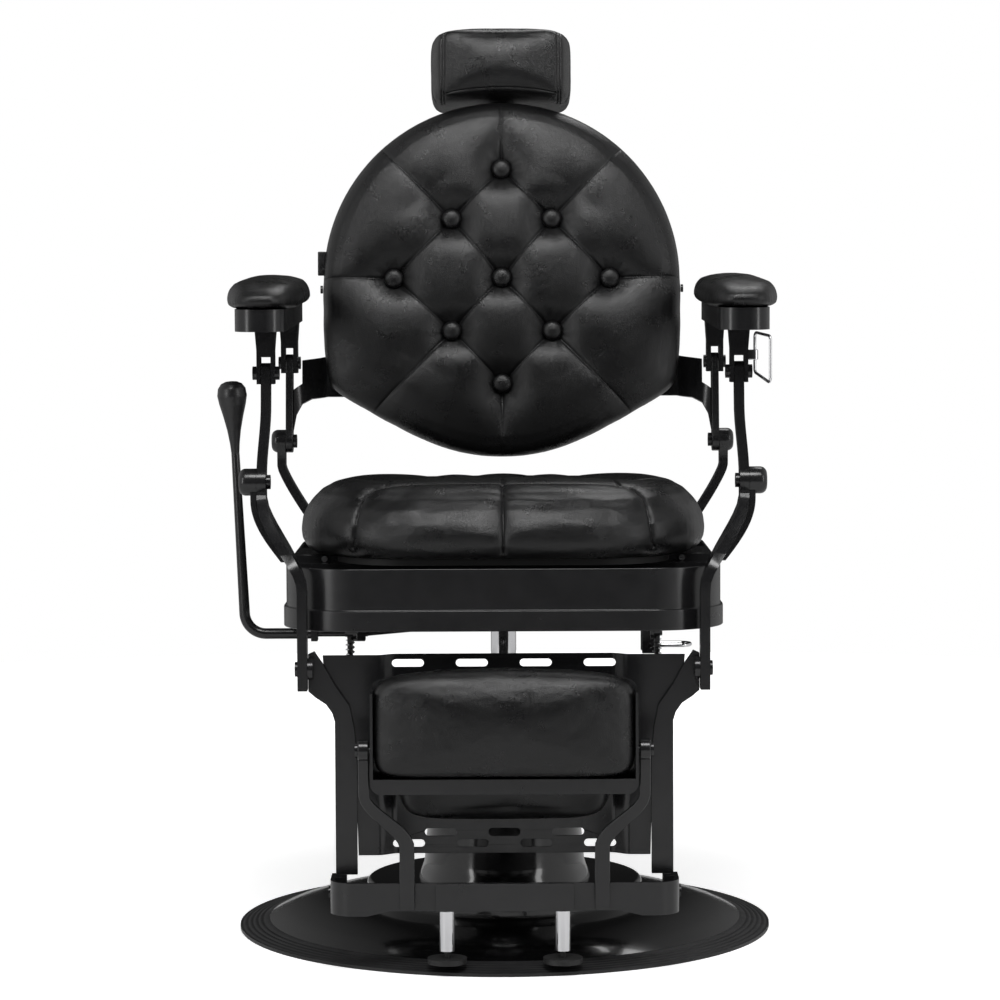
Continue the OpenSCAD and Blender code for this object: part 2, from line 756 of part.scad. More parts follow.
// Strap across the back, with wings that curve forward and outward to the side bars
module back_strap() {
    wing = 42;
    bar_in = bar_x - bar_t / 2;
    fork_in = bar_x - fork_w / 2 - head_t;
    y0 = upright_d / 5;
    path = [for (t = [0:0.1:1]) [bar_in - wing * t, mix(y0, strap_y + strap_t / 2, ease(t))]];
    plan = concat(path, flipped(path));
    // Half outline, from the bar inward below and back above, with heights as shares of the crank
    low_shares = [0.12, 0.34, 0.48, 0.56, 0.6];
    low_x = [bar_in, bar_in - boss_step, fork_in, fork_in - 3 * boss_step, bar_in - wing];
    high_shares = [1.12, 1.04, 0.74, 0.66];
    high_x = [bar_in - wing, fork_in, fork_in, bar_in];
    low = [for (i = [0:len(low_x) - 1]) [low_x[i], low_shares[i] * rear_crank]];
    high = [for (i = [0:len(high_x) - 1]) [high_x[i], high_shares[i] * rear_crank]];
    color("dimgray") leaning() intersection() {
        linear_extrude(2 * rear_crank) polygon(band(plan, [strap_t / 2]));
        front_cut(-bar_x, bar_x) polygon(concat(low, flipped(low), flipped(high), high));
    }
}
module back_bars() {
    w = 28;
    color("dimgray") leaning() pair() difference() {
        union() {
            slab(bar_x - bar_t / 2, bar_x + bar_t / 2, -0.43 * w, 0.43 * w, 0, rear_crank);
            rod(bar_x - bar_t / 2, bar_x + bar_t / 2, 0, 0, rear_hub_r);
            rod(bar_x - bar_t / 2, bar_x + bar_t / 2, 0, rear_crank, clevis_r);
        }
        rod(0, 2 * bar_x, 0, 0, pin_r + run);
        rod(0, 2 * bar_x, 0, rear_crank, pin_r - 1 + run);
    }
}
module back_bolts() {
    r = 6;
    bolt_x = 178;
    color("dimgray") leaning() {
        // Side studs of the cushion, and the bolts that hold the strap to the board
        pair() rod(back_r + 3 * gap, back_r + 3 * gap + head_t, -r, back_mid - 2 * r, r - 1);
        pair() translate([bolt_x, strap_y + strap_t + head_t, rear_crank - 2 * r]) facing()
            cylinder(h = head_t, r = r, $fn = 6);
    }
}

// Headrest, drawn with the back

module headrest_socket() {
    w = post_w + 2 * gap;
    d = post_t + 2 * gap;
    color("dimgray") leaning() difference() {
        slab(-w / 2 - socket_wall, w / 2 + socket_wall, post_y - d / 2 - socket_wall,
            post_y + d / 2 + socket_wall, socket_v, socket_v + socket_h);
        slab(-w / 2, w / 2, post_y - d / 2, post_y + d / 2, socket_v - cut, socket_v + socket_h + cut);
    }
}
head_rear_y = post_y - post_t / 2 - socket_wall;
module headrest_post() {
    color("dimgray") leaning() {
        slab(-post_w / 2, post_w / 2, post_y - post_t / 2, post_y + post_t / 2, post_v, head_v + head_h / 2);
        slab(-head_w / 3, head_w / 3, head_rear_y, post_y - post_t / 2, head_v + head_h / 4,
            head_v + 3 * head_h / 4);
    }
}
module headrest_cushion() {
    arch = 11;
    // Rounded block whose lower edge arches up in the middle
    outline = function (a) let (p = squircle(a, head_w / 2, head_h / 2, 6))
        [p[0], p[1] + (p[1] < 0 ? arch * (1 - pow(2 * p[0] / head_w, 2)) * -2 * p[1] / head_h : 0)];
    sides_shares = [[0.97, 0], [1, 0.1], [1, 0.5], [0.97, 0.74], [0.93, 0.9], [0.88, 0.97]];
    color("black") leaning() translate([0, head_rear_y - gap, head_v + head_h / 2]) facing()
        cushion(outline, sides_shares, 6, head_d, 7, function (p) 0, 40);
}

// Armrests, drawn on the right of the picture at +X

module arm_frame() {
    translate([arm_x, front_clevis_y, front_clevis_z + arm_drop]) rotate([arm_tilt, 0, 0]) children();
}
arm_front = -66;
module arm_plate() {
    translate([0, arm_front + arm_l / 2, 0]) linear_extrude(arm_t)
        rounded_square(arm_w, arm_l, arm_w / 2 - 6);
}
module arm_pad() {
    outline = function (a) squircle(a, pad_w / 2, arm_l / 2 + boss_r, 3.4);
    sides_shares = [[0.86, 0], [0.95, 0.06], [1, 0.26], [0.985, 0.48], [0.93, 0.7], [0.84, 0.86]];
    translate([0, arm_front + arm_l / 2, arm_t + gap])
        cushion(outline, sides_shares, 5, 0.85 * pad_h, 0.15 * pad_h, function (p) 0, 36);
}
// Forked post that hangs from the plate, with bosses round its pin; the children are cut out of it
module fork(x, y, z) {
    top = front_clevis_z + arm_drop + (y - front_clevis_y) * tan(arm_tilt);
    difference() {
        union() {
            front_cut(y - fork_d / 2, y + fork_d / 2) polygon([[x - fork_low_w / 2, z - 1.6 * boss_r],
                [x + fork_low_w / 2, z - 1.6 * boss_r], [x + fork_low_w / 2, z + fork_gap_h + boss_r],
                [x + fork_w / 2, top + cut], [x - fork_w / 2, top + cut],
                [x - fork_low_w / 2, z + fork_gap_h + boss_r]]);
            rod(x - fork_w / 2 - boss_out, x + fork_w / 2 + boss_out, y, z, boss_r);
        }
        arm_frame() translate([-arm_w, -arm_l, 0]) cube([2 * arm_w, 2 * arm_l, arm_t]);
        children();
    }
}
module fork_gap(x, y, z, w) {
    slab(x - w / 2, x + w / 2, y - fork_d, y + fork_d, z - 3 * boss_r, z + fork_gap_h);
}
boss_out = 1.5;
fork_gap_h = 19;
module arm_posts() {
    fork(clevis_x, front_clevis_y, front_clevis_z) {
        fork_gap(clevis_x, front_clevis_y, front_clevis_z, lever_t + 4 * gap);
        rod(clevis_x - fork_w, clevis_x + fork_w, front_clevis_y, front_clevis_z, pin_r - 1 + arm_pin_play);
    }
    fork(bar_x, rear_clevis_y, rear_clevis_z) fork_gap(bar_x, rear_clevis_y, rear_clevis_z, bar_t + 4 * gap);
    rod(bar_x - fork_low_w / 2, bar_x + fork_low_w / 2, rear_clevis_y, rear_clevis_z, pin_r - 1);
}
module armrest_left_plate() color("black") mirror([1, 0, 0]) arm_frame() arm_plate();
module armrest_left_posts() color("black") mirror([1, 0, 0]) arm_posts();
module armrest_left_pad() color("black") mirror([1, 0, 0]) arm_frame() arm_pad();
module armrest_right_plate() color("black") arm_frame() arm_plate();
module armrest_right_posts() color("black") arm_posts();
module armrest_right_pad() color("black") arm_frame() arm_pad();

ring_r = 1.75;
ring_w = 44;
ring_h = 47;
ring_z = 704;
ring_x = clevis_x + fork_w / 2 + 6.5;
ring_turn = -70;
module ring_eye() {
    h = 12;
    r = 4;
    z = ring_z - 3 * h / 4;
    color("silver") difference() {
        union() {
            translate([ring_x, front_clevis_y, z]) cylinder(h = h, r = r);
            slab(clevis_x + fork_low_w / 2, ring_x, front_clevis_y - r, front_clevis_y + r, z, z + h);
        }
        translate([ring_x, front_clevis_y, z - cut]) cylinder(h = h + 2 * cut, r = ring_r + run);
    }
}
// Wire bent along a closed loop of points, with one bend radius for all corners
module wire_loop(p, bend, r) {
    n = len(p);
    function way(i) = unit(p[(i + 1) % n] - p[i % n]);
    function turn(i) = let (u = way(i + n - 1), v = way(i)) atan2(u[0] * v[1] - u[1] * v[0], u * v);
    function reach(i) = bend * tan(turn(i) / 2);
    for (i = [0:n - 1]) {
        length = norm(p[(i + 1) % n] - p[i]) - reach(i) - reach(i + 1);
        translate(p[i] + way(i) * reach(i)) rotate([0, 0, atan2(way(i)[1], way(i)[0])]) {
            rod(0, length, 0, 0, r);
            translate([length, bend, 0]) rotate([0, 0, -90]) rotate_extrude(angle = turn(i + 1))
                translate([bend, 0]) circle(r);
        }
    }
}
module towel_ring() {
    bend = 5;
    drop = 4;
    // The outer side is longer and hangs lower than the side in the eye
    loop = [[0, -ring_h / 2], [ring_w, -ring_h / 2 - 3 * drop], [ring_w, ring_h / 2 - drop], [0, ring_h / 2]];
    color("silver") translate([ring_x, front_clevis_y, ring_z]) rotate([90, 0, ring_turn])
        wire_loop(loop, bend, ring_r, $fn = 32);
}

// Front levers

module front_levers() {
    low_z = calf_z - lever_d - gap;
    // The lever swings in and forward past the skirt between these heights
    bend_top = knob_z - hub_r;
    bend_low = skirt_top_z - lever_d;
    bend_mid = skirt_top_z - 0.35 * lever_d;
    span = front_clevis_z - low_z;
    function x_at(z) = mix(mix(clevis_x, lever_x, ease((front_clevis_z - 40 - z) / 80)), lever_low_x,
        ease((bend_top - z) / (bend_top - bend_low)));
    function y_at(z) = z > knob_z ? mix(-knob_y, front_clevis_y, (z - knob_z) / (front_clevis_z - knob_z))
        : mix(-knob_y, -calf_y, ease((bend_top - z) / (bend_top - bend_mid)));
    heights = [for (t = [0:0.03125:1]) front_clevis_z - span * t];
    color("black") pair() difference() {
        union() {
            intersection() {
                front_cut(-2 * calf_y, 0) polygon(band([for (z = heights) [x_at(z), z]], [lever_t / 2]));
                side_cut(0, 2 * lever_x) polygon(band([for (z = heights) [y_at(z), z]], [lever_d / 2]));
            }
            rod(clevis_x - lever_t / 2, clevis_x + lever_t / 2, front_clevis_y, front_clevis_z, lever_d / 2);
            rod(lever_x - lever_t / 2, lever_x + lever_t / 2, -knob_y, knob_z, hub_r);
        }
        rod(0, 2 * lever_x, -knob_y, knob_z, pin_r + run);
        rod(0, 2 * lever_x, -calf_y, calf_z, pin_r + run);
        rod(0, 2 * lever_x, front_clevis_y, front_clevis_z, pin_r - 1);
    }
}
module lever_top_pins() {
    half = fork_w / 2 + boss_out + gap;
    color("black") pair() {
        rod(clevis_x - half, clevis_x + half, front_clevis_y, front_clevis_z, pin_r - 1);
        for (x = [-half - boss_out, half])
            rod(clevis_x + x, clevis_x + x + boss_out, front_clevis_y, front_clevis_z, boss_r);
    }
}

// Leg rest

module calf_side_plates() {
    in_x = side_hw - side_w;
    low_z = strap_z + strap_h;
    // Outline from the lower end up the outer edge to the pivot and back down, as [x, share of wing_h below]
    outer = [[side_hw, 0.62], [side_hw + 3, 0.52], [side_hw + 10, 0.42], [side_hw + 22, 0.34],
        [calf_pin_x, 0.27]];
    inner = [[calf_pin_x, -0.16], [calf_pin_x - 7, -0.19], [calf_pin_x - 16, -0.06], [side_hw, 0.2],
        [in_x + 8, 0.44], [in_x + 3, 0.7], [in_x, 1]];
    edge = [for (p = concat(outer, inner)) [p[0], calf_z - wing_h * p[1]]];
    outline = concat([[side_hw, low_z]], edge, [[in_x, low_z]]);
    bolt_x = lever_low_x + lever_t / 2 + gap;
    color("dimgray") pair() {
        front_cut(panel_y - side_t, panel_y) polygon(outline);
        rod(calf_pin_x - tab_t, calf_pin_x, -calf_y, calf_z, lever_d / 2);
        slab(calf_pin_x - tab_t, calf_pin_x, -calf_y, panel_y, calf_z - lever_d / 2, calf_z + lever_d / 2);
        // Lower end, turned to lie inside the foot bracket
        slab(in_x + side_w / 2, side_hw, panel_y - 3 * side_t, panel_y, strap_z + boss_step, low_z);
        // Pivot bolt through the lever
        rod(calf_pin_x - tab_t, bolt_x, -calf_y, calf_z, pin_r);
        rod(bolt_x, bolt_x + head_t, -calf_y, calf_z, pin_head_r);
    }
}
function slot_row(count) = [for (i = [0:count - 1]) (i - (count - 1) / 2) * slot_pitch];
// Sheet panel, its middle set back between two wings, with rows of three and four slots
module calf_panel() {
    joggle_w = 22;
    joggle = [for (t = [0:0.125:1]) [wing_x - joggle_w * t, panel_y + panel_t / 2 + panel_recess * ease(t)]];
    half_plan = concat([[2 * wing_x, panel_y + panel_t / 2]], joggle);
    plan = concat(half_plan, flipped(half_plan));
    rows = [[panel_top_z - 1.2 * slot_h, 4], [panel_top_z - 3.5 * slot_h, 3], [panel_low_z + 1.3 * slot_h, 4],
        [panel_low_z + 2.75 * slot_h, 3]];
    edge = [[panel_low_hw, panel_low_z], [panel_low_hw + 2, calf_z - 1.45 * wing_h],
        [side_hw - 3, calf_z - 1.3 * wing_h], [side_hw - 3, calf_z - 0.27 * wing_h],
        [side_hw + 12, calf_z - 0.12 * wing_h], [side_hw + 14, panel_top_z]];
    color("dimgray") intersection() {
        translate([0, 0, panel_low_z]) linear_extrude(panel_top_z - panel_low_z)
            polygon(band(plan, [panel_t / 2]));
        front_cut(panel_y - side_t, panel_y + 3 * side_t) difference() {
            polygon(concat(edge, flipped(edge)));
            for (row = rows, x = slot_row(row[1])) translate([x, row[0]]) obround(slot_l, slot_h);
        }
    }
}
module calf_cushion() {
    low = panel_low_z + calf_pad_low;
    top = panel_top_z - calf_pad_top;
    outline = function (a) squircle(a, calf_hw, (top - low) / 2, 7);
    sides_shares = [[0.96, 0], [1, 0.2], [1, 0.55], [0.975, 0.85], [0.94, 1]];
    color("black") translate([0, panel_y + panel_recess - gap, (low + top) / 2]) facing()
        cushion(outline, sides_shares, 4, calf_pad_h, calf_pad_h / 5, function (p) 0, 32);
}
// Slotted plates behind the panel, in which the links' pins slide
module slot_guides() {
    w = guide_w / 2;
    r = link_r + slot_play;
    z0 = link_end_z - slot_dip;
    z1 = link_end_z + slot_travel;
    color("dimgray") pair() difference() {
        union() {
            slab(guide_x, guide_x + guide_t, panel_y + panel_t, link_end_y, z0 - w, z1 + w);
            slab(guide_x, guide_x + guide_t, link_end_y - cut, link_end_y + w, z0, z1);
            for (z = [z0, z1]) rod(guide_x, guide_x + guide_t, link_end_y, z, w);
        }
        slab(0, 2 * guide_x, link_end_y - r, link_end_y + r, z0, z1);
        for (z = [z0, z1]) rod(0, 2 * guide_x, link_end_y, z, r);
    }
}
link_l = norm([link_end_y - link_y, link_end_z - link_z]);
link_turn = atan2(link_end_y - link_y, link_z - link_end_z);
module calf_links() {
    w = 7;
    pin_end = guide_x + guide_t + gap;
    color("black") pair() {
        difference() {
            union() {
                for (end = [[link_y, link_z], [link_end_y, link_end_z]])
                    rod(link_x - link_t / 2, link_x + link_t / 2, end[0], end[1], w);
                translate([link_x, link_y, link_z]) rotate([link_turn, 0, 0])
                    translate([0, 0, -link_l]) cylinder(h = link_l, r = link_rod_r);
            }
            rod(0, 2 * link_x, link_y, link_z, link_r + run);
        }
        rod(link_x, pin_end, link_end_y, link_end_z, link_r);
        rod(pin_end, pin_end + link_r / 2, link_end_y, link_end_z, w);
    }
}
// Coil spring round the upper part of each link's rod
module link_springs() {
    turns = 8;
    wire = 0.9;
    coil_r = link_rod_r + wire + gap;
    coil_l = 44;
    steps = 12;
    start = 10;
    slope = atan(coil_l / turns / (2 * PI * coil_r));
    sides = 6;
    rings = [for (i = [turns * steps:-1:0])
        let (a = i * 360 / steps, z = -start - coil_l * i / (turns * steps))
        [for (k = [0:sides - 1]) let (b = k * 360 / sides, r = coil_r + wire * cos(b), q = wire * sin(b))
            [r * cos(a) + q * sin(slope) * sin(a), r * sin(a) - q * sin(slope) * cos(a),
                z + q * cos(slope)]]];
    function middle(ring) = (ring[0] + ring[3]) / 2;
    color("silver") pair() translate([link_x, link_y, link_z]) rotate([link_turn, 0, 0])
        lofted(rings, middle(rings[0]), middle(rings[len(rings) - 1]));
}

// Foot bracket

module foot_strap() {
    x = side_hw + strap_plate / 2;
    arc = [for (a = [0:15:90]) [x, strap_front_y] + strap_corner * [cos(a) - 1, 1 - sin(a)]];
    half_plan = concat([[x, strap_end_y]], arc);
    plan = concat(half_plan, flipped(half_plan));
    // The strap is a little deeper toward its corners
    far_x = side_hw - strap_h;
    near_x = far_x - strap_corner;
    color("dimgray") {
        intersection() {
            translate([0, 0, strap_z]) linear_extrude(strap_h) polygon(band(plan, [strap_plate / 2]));
            front_cut(-2 * foot_y, 0) polygon([[-2 * x, strap_z], [-far_x, strap_z],
                [-near_x, strap_z + narrow], [near_x, strap_z + narrow], [far_x, strap_z], [2 * x, strap_z],
                [2 * x, strap_z + strap_h], [-2 * x, strap_z + strap_h]]);
        }
        pair() rod(side_hw + strap_plate, side_hw + strap_plate + head_t, panel_y - 2 * side_t,
            strap_z + strap_h / 2, pin_head_r - 1);
    }
}
module foot_plate() {
    y = strap_front_y - strap_plate / 2;
    color("dimgray") slab(-plate_hw, plate_hw, y - strap_plate, y, strap_z + narrow, strap_z + strap_h);
}
module foot_arms() {
    y_low = strap_front_y - strap_plate / 2 - foot_arm_t / 2;
    z_low = strap_z + foot_arm_t;
    z_join = strap_z + strap_h + foot_arm_t;
    bend_top = 210;
    bend_low = 148;
    heights = [for (t = [0:0.04:1]) mix(z_low, flip_z, t)];
    function x_at(z) = mix(arm_top_x, arm_low_x, ease((bend_top - z) / (bend_top - bend_low)));
    function y_at(z) = mix(y_low, -flip_y, ease((z - z_join) / (flip_z - z_join)));
    halves = [for (z = heights) mix(arm_low_w, arm_top_w, ease((z - bend_low) / (bend_top - bend_low))) / 2];
    color("dimgray") pair() difference() {
        union() {
            intersection() {
                front_cut(-2 * flip_y, 0) polygon(band([for (z = heights) [x_at(z), z]], halves));
                side_cut(0, 2 * arm_top_x) polygon(band([for (z = heights) [y_at(z), z]], [foot_arm_t / 2]));
            }
            rod(arm_top_x - arm_top_w / 2, arm_top_x + arm_top_w / 2, -flip_y, flip_z, eye_r);
        }
        rod(0, 2 * arm_top_x, -flip_y, flip_z, pin_r - 1 + run);
    }
}
module foot_posts() {
    top_z = strap_z + narrow;
    color("silver") pair() translate([foot_x, -foot_y, post_low_z]) difference() {
        cylinder(h = top_z - post_low_z, r = post_r);
        translate([0, 0, -cut]) cylinder(h = top_z - post_low_z - boss_step, r = neck_r + run);
    }
}
module glide() {
    neck_l = 20;
    translate([foot_x, -foot_y, glide_z]) {
        cylinder(h = glide_h, r = glide_r);
        translate([0, 0, glide_h - cut]) cylinder(h = post_low_z - glide_z - glide_h + neck_l, r = neck_r);
    }
}
module foot_glide_left() color("black") mirror([1, 0, 0]) glide();
module foot_glide_right() color("black") glide();

// Flip pad, drawn about its pivot

module flip_tray() {
    corner = 12;
    over = arm_top_x + arm_top_w / 2 + gap;
    color("dimgray") translate([0, -flip_y, flip_z]) {
        difference() {
            front_cut(-tray_front, tray_rear) translate([0, (tray_top - tray_low) / 2])
                rounded_square(2 * tray_hw, tray_top + tray_low, corner);
            front_cut(tray_t - tray_front, tray_rear - tray_t) translate([0, (tray_top - tray_low) / 2])
                rounded_square(2 * (tray_hw - tray_t), tray_top + tray_low - 2 * tray_t, corner - tray_t);
            slab(tray_t - tray_hw, tray_hw - tray_t, -tray_front - cut, cut - tray_front + tray_t,
                lip_h - tray_low, 2 * tray_top);
            slab(-tray_hw - cut, tray_hw + cut, -tray_front - cut, tray_rear - tray_t, tray_top - corner,
                tray_top + cut);
        }
        pair() {
            rod(tray_hw - tray_t / 2, over, 0, 0, pin_r - 1);
            rod(over, over + head_t, 0, 0, pin_head_r);
        }
    }
}
module flip_cushion() {
    hw = tray_hw - tray_t - gap;
    low = lip_h - tray_low + gap;
    top = 1.18 * tray_top;
    arch = 10;
    outline = function (a) let (p = squircle(a, hw, (top - low) / 2, 8))
        [p[0], p[1] - (p[1] > 0 ? arch * pow(p[0] / hw, 2) : 0)];
    sides_shares = [[1, 0], [1, 0.5], [1, 0.78], [0.985, 0.88], [0.955, 0.96], [0.92, 1]];
    color("black") translate([0, tray_rear - tray_t - gap - flip_y, flip_z + (low + top) / 2]) facing()
        cushion(outline, sides_shares, 5, flip_pad_h, flip_pad_h / 6, function (p) 0, 36);
}

base_rim();
base_plate();
base_dome();
pump_cylinder();
pump_cover();
pump_collar();
ram();
ram_head();
swivel_bearing();
seat_skirt();
seat_crossbars();
seat_rails();
swivel_socket();
seat_board();
seat_cushion();
front_uprights();
rear_uprights();
upright_screws();
front_pivot_pins();
rear_pivot_pins();
link_brackets();
lever_bearings();
release_bracket();
hand_lever();
hand_lever_grip();
release_handle();
back_bars();
back_strap();
back_board();
back_shell();
back_cushion();
back_buttons();
back_bolts();
headrest_socket();
headrest_post();
headrest_cushion();
armrest_left_plate();
armrest_left_posts();
armrest_left_pad();
armrest_right_plate();
armrest_right_posts();
armrest_right_pad();
ring_eye();
towel_ring();
front_levers();
lever_top_pins();
calf_side_plates();
calf_panel();
calf_cushion();
slot_guides();
calf_links();
link_springs();
foot_strap();
foot_plate();
foot_arms();
foot_posts();
foot_glide_left();
foot_glide_right();
flip_tray();
flip_cushion();
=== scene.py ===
"""Looks of the barber chair: leather cushions, painted and chromed metal, camera and studio."""

import json
import math

import bmesh
import bpy
import numpy as np
from mathutils import Matrix, Vector, kdtree, noise as relief_noise
from mathutils.bvhtree import BVHTree


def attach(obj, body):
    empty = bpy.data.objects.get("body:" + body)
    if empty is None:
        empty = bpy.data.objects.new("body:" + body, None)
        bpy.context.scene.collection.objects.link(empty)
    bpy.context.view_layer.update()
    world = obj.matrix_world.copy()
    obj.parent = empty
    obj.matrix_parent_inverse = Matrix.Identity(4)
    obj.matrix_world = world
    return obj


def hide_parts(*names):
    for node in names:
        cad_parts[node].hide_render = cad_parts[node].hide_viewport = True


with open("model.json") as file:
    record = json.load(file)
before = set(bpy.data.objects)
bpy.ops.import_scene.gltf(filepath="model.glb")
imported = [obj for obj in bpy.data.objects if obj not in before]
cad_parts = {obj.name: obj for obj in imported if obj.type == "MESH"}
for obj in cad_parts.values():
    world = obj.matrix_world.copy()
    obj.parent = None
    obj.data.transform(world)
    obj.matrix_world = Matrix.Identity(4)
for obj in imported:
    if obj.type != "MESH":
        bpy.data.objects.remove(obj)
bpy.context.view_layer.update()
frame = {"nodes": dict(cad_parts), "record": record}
scene = bpy.context.scene


# Materials

def shader(name, color, rough, metallic=0.0, coat=0.0, coat_rough=0.1, specular=0.5):
    m = bpy.data.materials.new(name)
    m.use_nodes = True
    nt = m.node_tree
    bsdf = nt.nodes["Principled BSDF"]
    bsdf.inputs["Base Color"].default_value = (*color, 1)
    bsdf.inputs["Roughness"].default_value = rough
    bsdf.inputs["Metallic"].default_value = metallic
    bsdf.inputs["Coat Weight"].default_value = coat
    bsdf.inputs["Coat Roughness"].default_value = coat_rough
    bsdf.inputs["Specular IOR Level"].default_value = specular
    m.diffuse_color = (*color, 1)
    return m, nt, bsdf


def node(nt, kind, **values):
    n = nt.nodes.new(kind)
    for key, value in values.items():
        if key in n.inputs:
            n.inputs[key].default_value = value
        else:
            setattr(n, key, value)
    return n


def mapped(nt, out, low, high, a=0.0, b=1.0):
    n = node(nt, "ShaderNodeMapRange")
    n.inputs["From Min"].default_value = a
    n.inputs["From Max"].default_value = b
    n.inputs["To Min"].default_value = low
    n.inputs["To Max"].default_value = high
    nt.links.new(out, n.inputs["Value"])
    return n.outputs["Result"]


def noise(nt, coord, scale, detail=4.0, rough=0.5, stretch=(1, 1, 1)):
    m = node(nt, "ShaderNodeMapping")
    m.inputs["Scale"].default_value = stretch
    nt.links.new(coord, m.inputs["Vector"])
    n = node(nt, "ShaderNodeTexNoise")
    n.inputs["Scale"].default_value = scale
    n.inputs["Detail"].default_value = detail
    n.inputs["Roughness"].default_value = rough
    nt.links.new(m.outputs["Vector"], n.inputs["Vector"])
    return n.outputs["Fac"]


def bump(nt, bsdf, height, strength, distance, normal=None):
    n = node(nt, "ShaderNodeBump")
    n.inputs["Strength"].default_value = strength
    n.inputs["Distance"].default_value = distance
    nt.links.new(height, n.inputs["Height"])
    if normal is not None:
        nt.links.new(normal, n.inputs["Normal"])
    nt.links.new(n.outputs["Normal"], bsdf.inputs["Normal"])
    return n.outputs["Normal"]


def tinted(nt, fac, dark, light):
    n = node(nt, "ShaderNodeMix", data_type="RGBA")
    nt.links.new(fac, n.inputs["Factor"])
    n.inputs["A"].default_value = (*dark, 1)
    n.inputs["B"].default_value = (*light, 1)
    return n.outputs["Result"]


def coords(nt):
    return node(nt, "ShaderNodeTexCoord").outputs["Object"]


def leather(name="black_leather"):
    m, nt, bsdf = shader(name, (0.006, 0.006, 0.0063), 0.36, specular=0.38)
    c = coords(nt)
    grain = node(nt, "ShaderNodeTexVoronoi", feature="DISTANCE_TO_EDGE")
    grain.inputs["Scale"].default_value = 700
    warp = node(nt, "ShaderNodeVectorMath", operation="ADD")
    shift = node(nt, "ShaderNodeVectorMath", operation="SCALE")
    shift.inputs["Scale"].default_value = 0.0014
    wobble = node(nt, "ShaderNodeTexNoise")
    wobble.inputs["Scale"].default_value = 160
    nt.links.new(c, wobble.inputs["Vector"])
    nt.links.new(wobble.outputs["Color"], shift.inputs[0])
    nt.links.new(c, warp.inputs[0])
    nt.links.new(shift.outputs["Vector"], warp.inputs[1])
    nt.links.new(warp.outputs["Vector"], grain.inputs["Vector"])
    cells = mapped(nt, grain.outputs["Distance"], 0, 1, 0.0, 0.25)
    wrinkles = noise(nt, c, 55, 6, 0.6)
    first = bump(nt, bsdf, wrinkles, 0.3, 0.0009)
    bump(nt, bsdf, cells, 0.35, 0.00025, first)
    nt.links.new(mapped(nt, noise(nt, c, 26, 5, 0.6), 0.24, 0.36, 0.3, 0.7), bsdf.inputs["Roughness"])
    nt.links.new(tinted(nt, noise(nt, c, 9, 3), (0.0032, 0.0032, 0.0034), (0.0062, 0.0062, 0.0065)),
                 bsdf.inputs["Base Color"])
    return m


def painted(name, tone, rough, peel=0.06, coat=0.0):
    m, nt, bsdf = shader(name, tone, rough, coat=coat, coat_rough=0.04)
    c = coords(nt)
    nt.links.new(mapped(nt, noise(nt, c, 34, 5, 0.6), rough * 0.85, rough * 1.2, 0.3, 0.7),
                 bsdf.inputs["Roughness"])
    lighter = tuple(v * 1.35 for v in tone)
    nt.links.new(tinted(nt, noise(nt, c, 12, 4), tone, lighter), bsdf.inputs["Base Color"])
    bump(nt, bsdf, noise(nt, c, 260, 2, 0.5), peel, 0.0004)
    return m


def metal(name, tone, smoothest, roughest, stretch, grain):
    m, nt, bsdf = shader(name, (tone, tone, tone * 1.02), smoothest, metallic=1.0)
    lines = noise(nt, coords(nt), 80, 3, 0.5, stretch)
    nt.links.new(mapped(nt, lines, smoothest, roughest, 0.3, 0.7), bsdf.inputs["Roughness"])
    bump(nt, bsdf, lines, grain, 0.0003)
    return m


def rubber(name, tone, rough):
    m, nt, bsdf = shader(name, tone, rough, specular=0.4)
    c = coords(nt)
    nt.links.new(mapped(nt, noise(nt, c, 45, 5, 0.6), rough * 0.85, rough * 1.15, 0.3, 0.7),
                 bsdf.inputs["Roughness"])
    dust = tuple(v * 1.8 for v in tone)
    nt.links.new(tinted(nt, mapped(nt, noise(nt, c, 14, 5, 0.65), 0, 1, 0.45, 0.8), tone, dust),
                 bsdf.inputs["Base Color"])
    bump(nt, bsdf, noise(nt, c, 1400, 2), 0.2, 0.0003)
    return m


def painted_board(name):
    """Plywood under black paint, its grain still felt."""
    m, nt, bsdf = shader(name, (0.02, 0.02, 0.02), 0.6)
    c = coords(nt)
    grain = noise(nt, c, 26, 6, 0.6, (1, 9, 9))
    nt.links.new(tinted(nt, grain, (0.014, 0.014, 0.014), (0.028, 0.028, 0.027)), bsdf.inputs["Base Color"])
    bump(nt, bsdf, grain, 0.2, 0.0005)
    return m


LEATHER = leather()
BUTTON_LEATHER = leather("button_leather")
MATERIALS = {
    "black_metal": painted("black_metal", (0.0075, 0.0075, 0.008), 0.23, peel=0.03),
    "gloss_black_metal": painted("gloss_black_metal", (0.0025, 0.0025, 0.0027), 0.14, peel=0.01, coat=0.3),
    "black_leather": LEATHER,
    "chrome": metal("chrome", 0.7, 0.04, 0.08, (1, 1, 1), 0.02),
    "steel": metal("steel", 0.4, 0.24, 0.4, (1, 1, 14), 0.15),
    "rim_rubber": rubber("rim_rubber", (0.011, 0.011, 0.0115), 0.45),
    "glide_rubber": rubber("glide_rubber", (0.010, 0.010, 0.010), 0.5),
    "board_wood": painted_board("board_wood"),
    "grip_plastic": painted("grip_plastic", (0.008, 0.008, 0.0085), 0.34, peel=0.05),
    "cast_iron": painted("cast_iron", (0.018, 0.018, 0.018), 0.55, peel=0.3),
}


# CAD nodes keep their shape and get softened edges

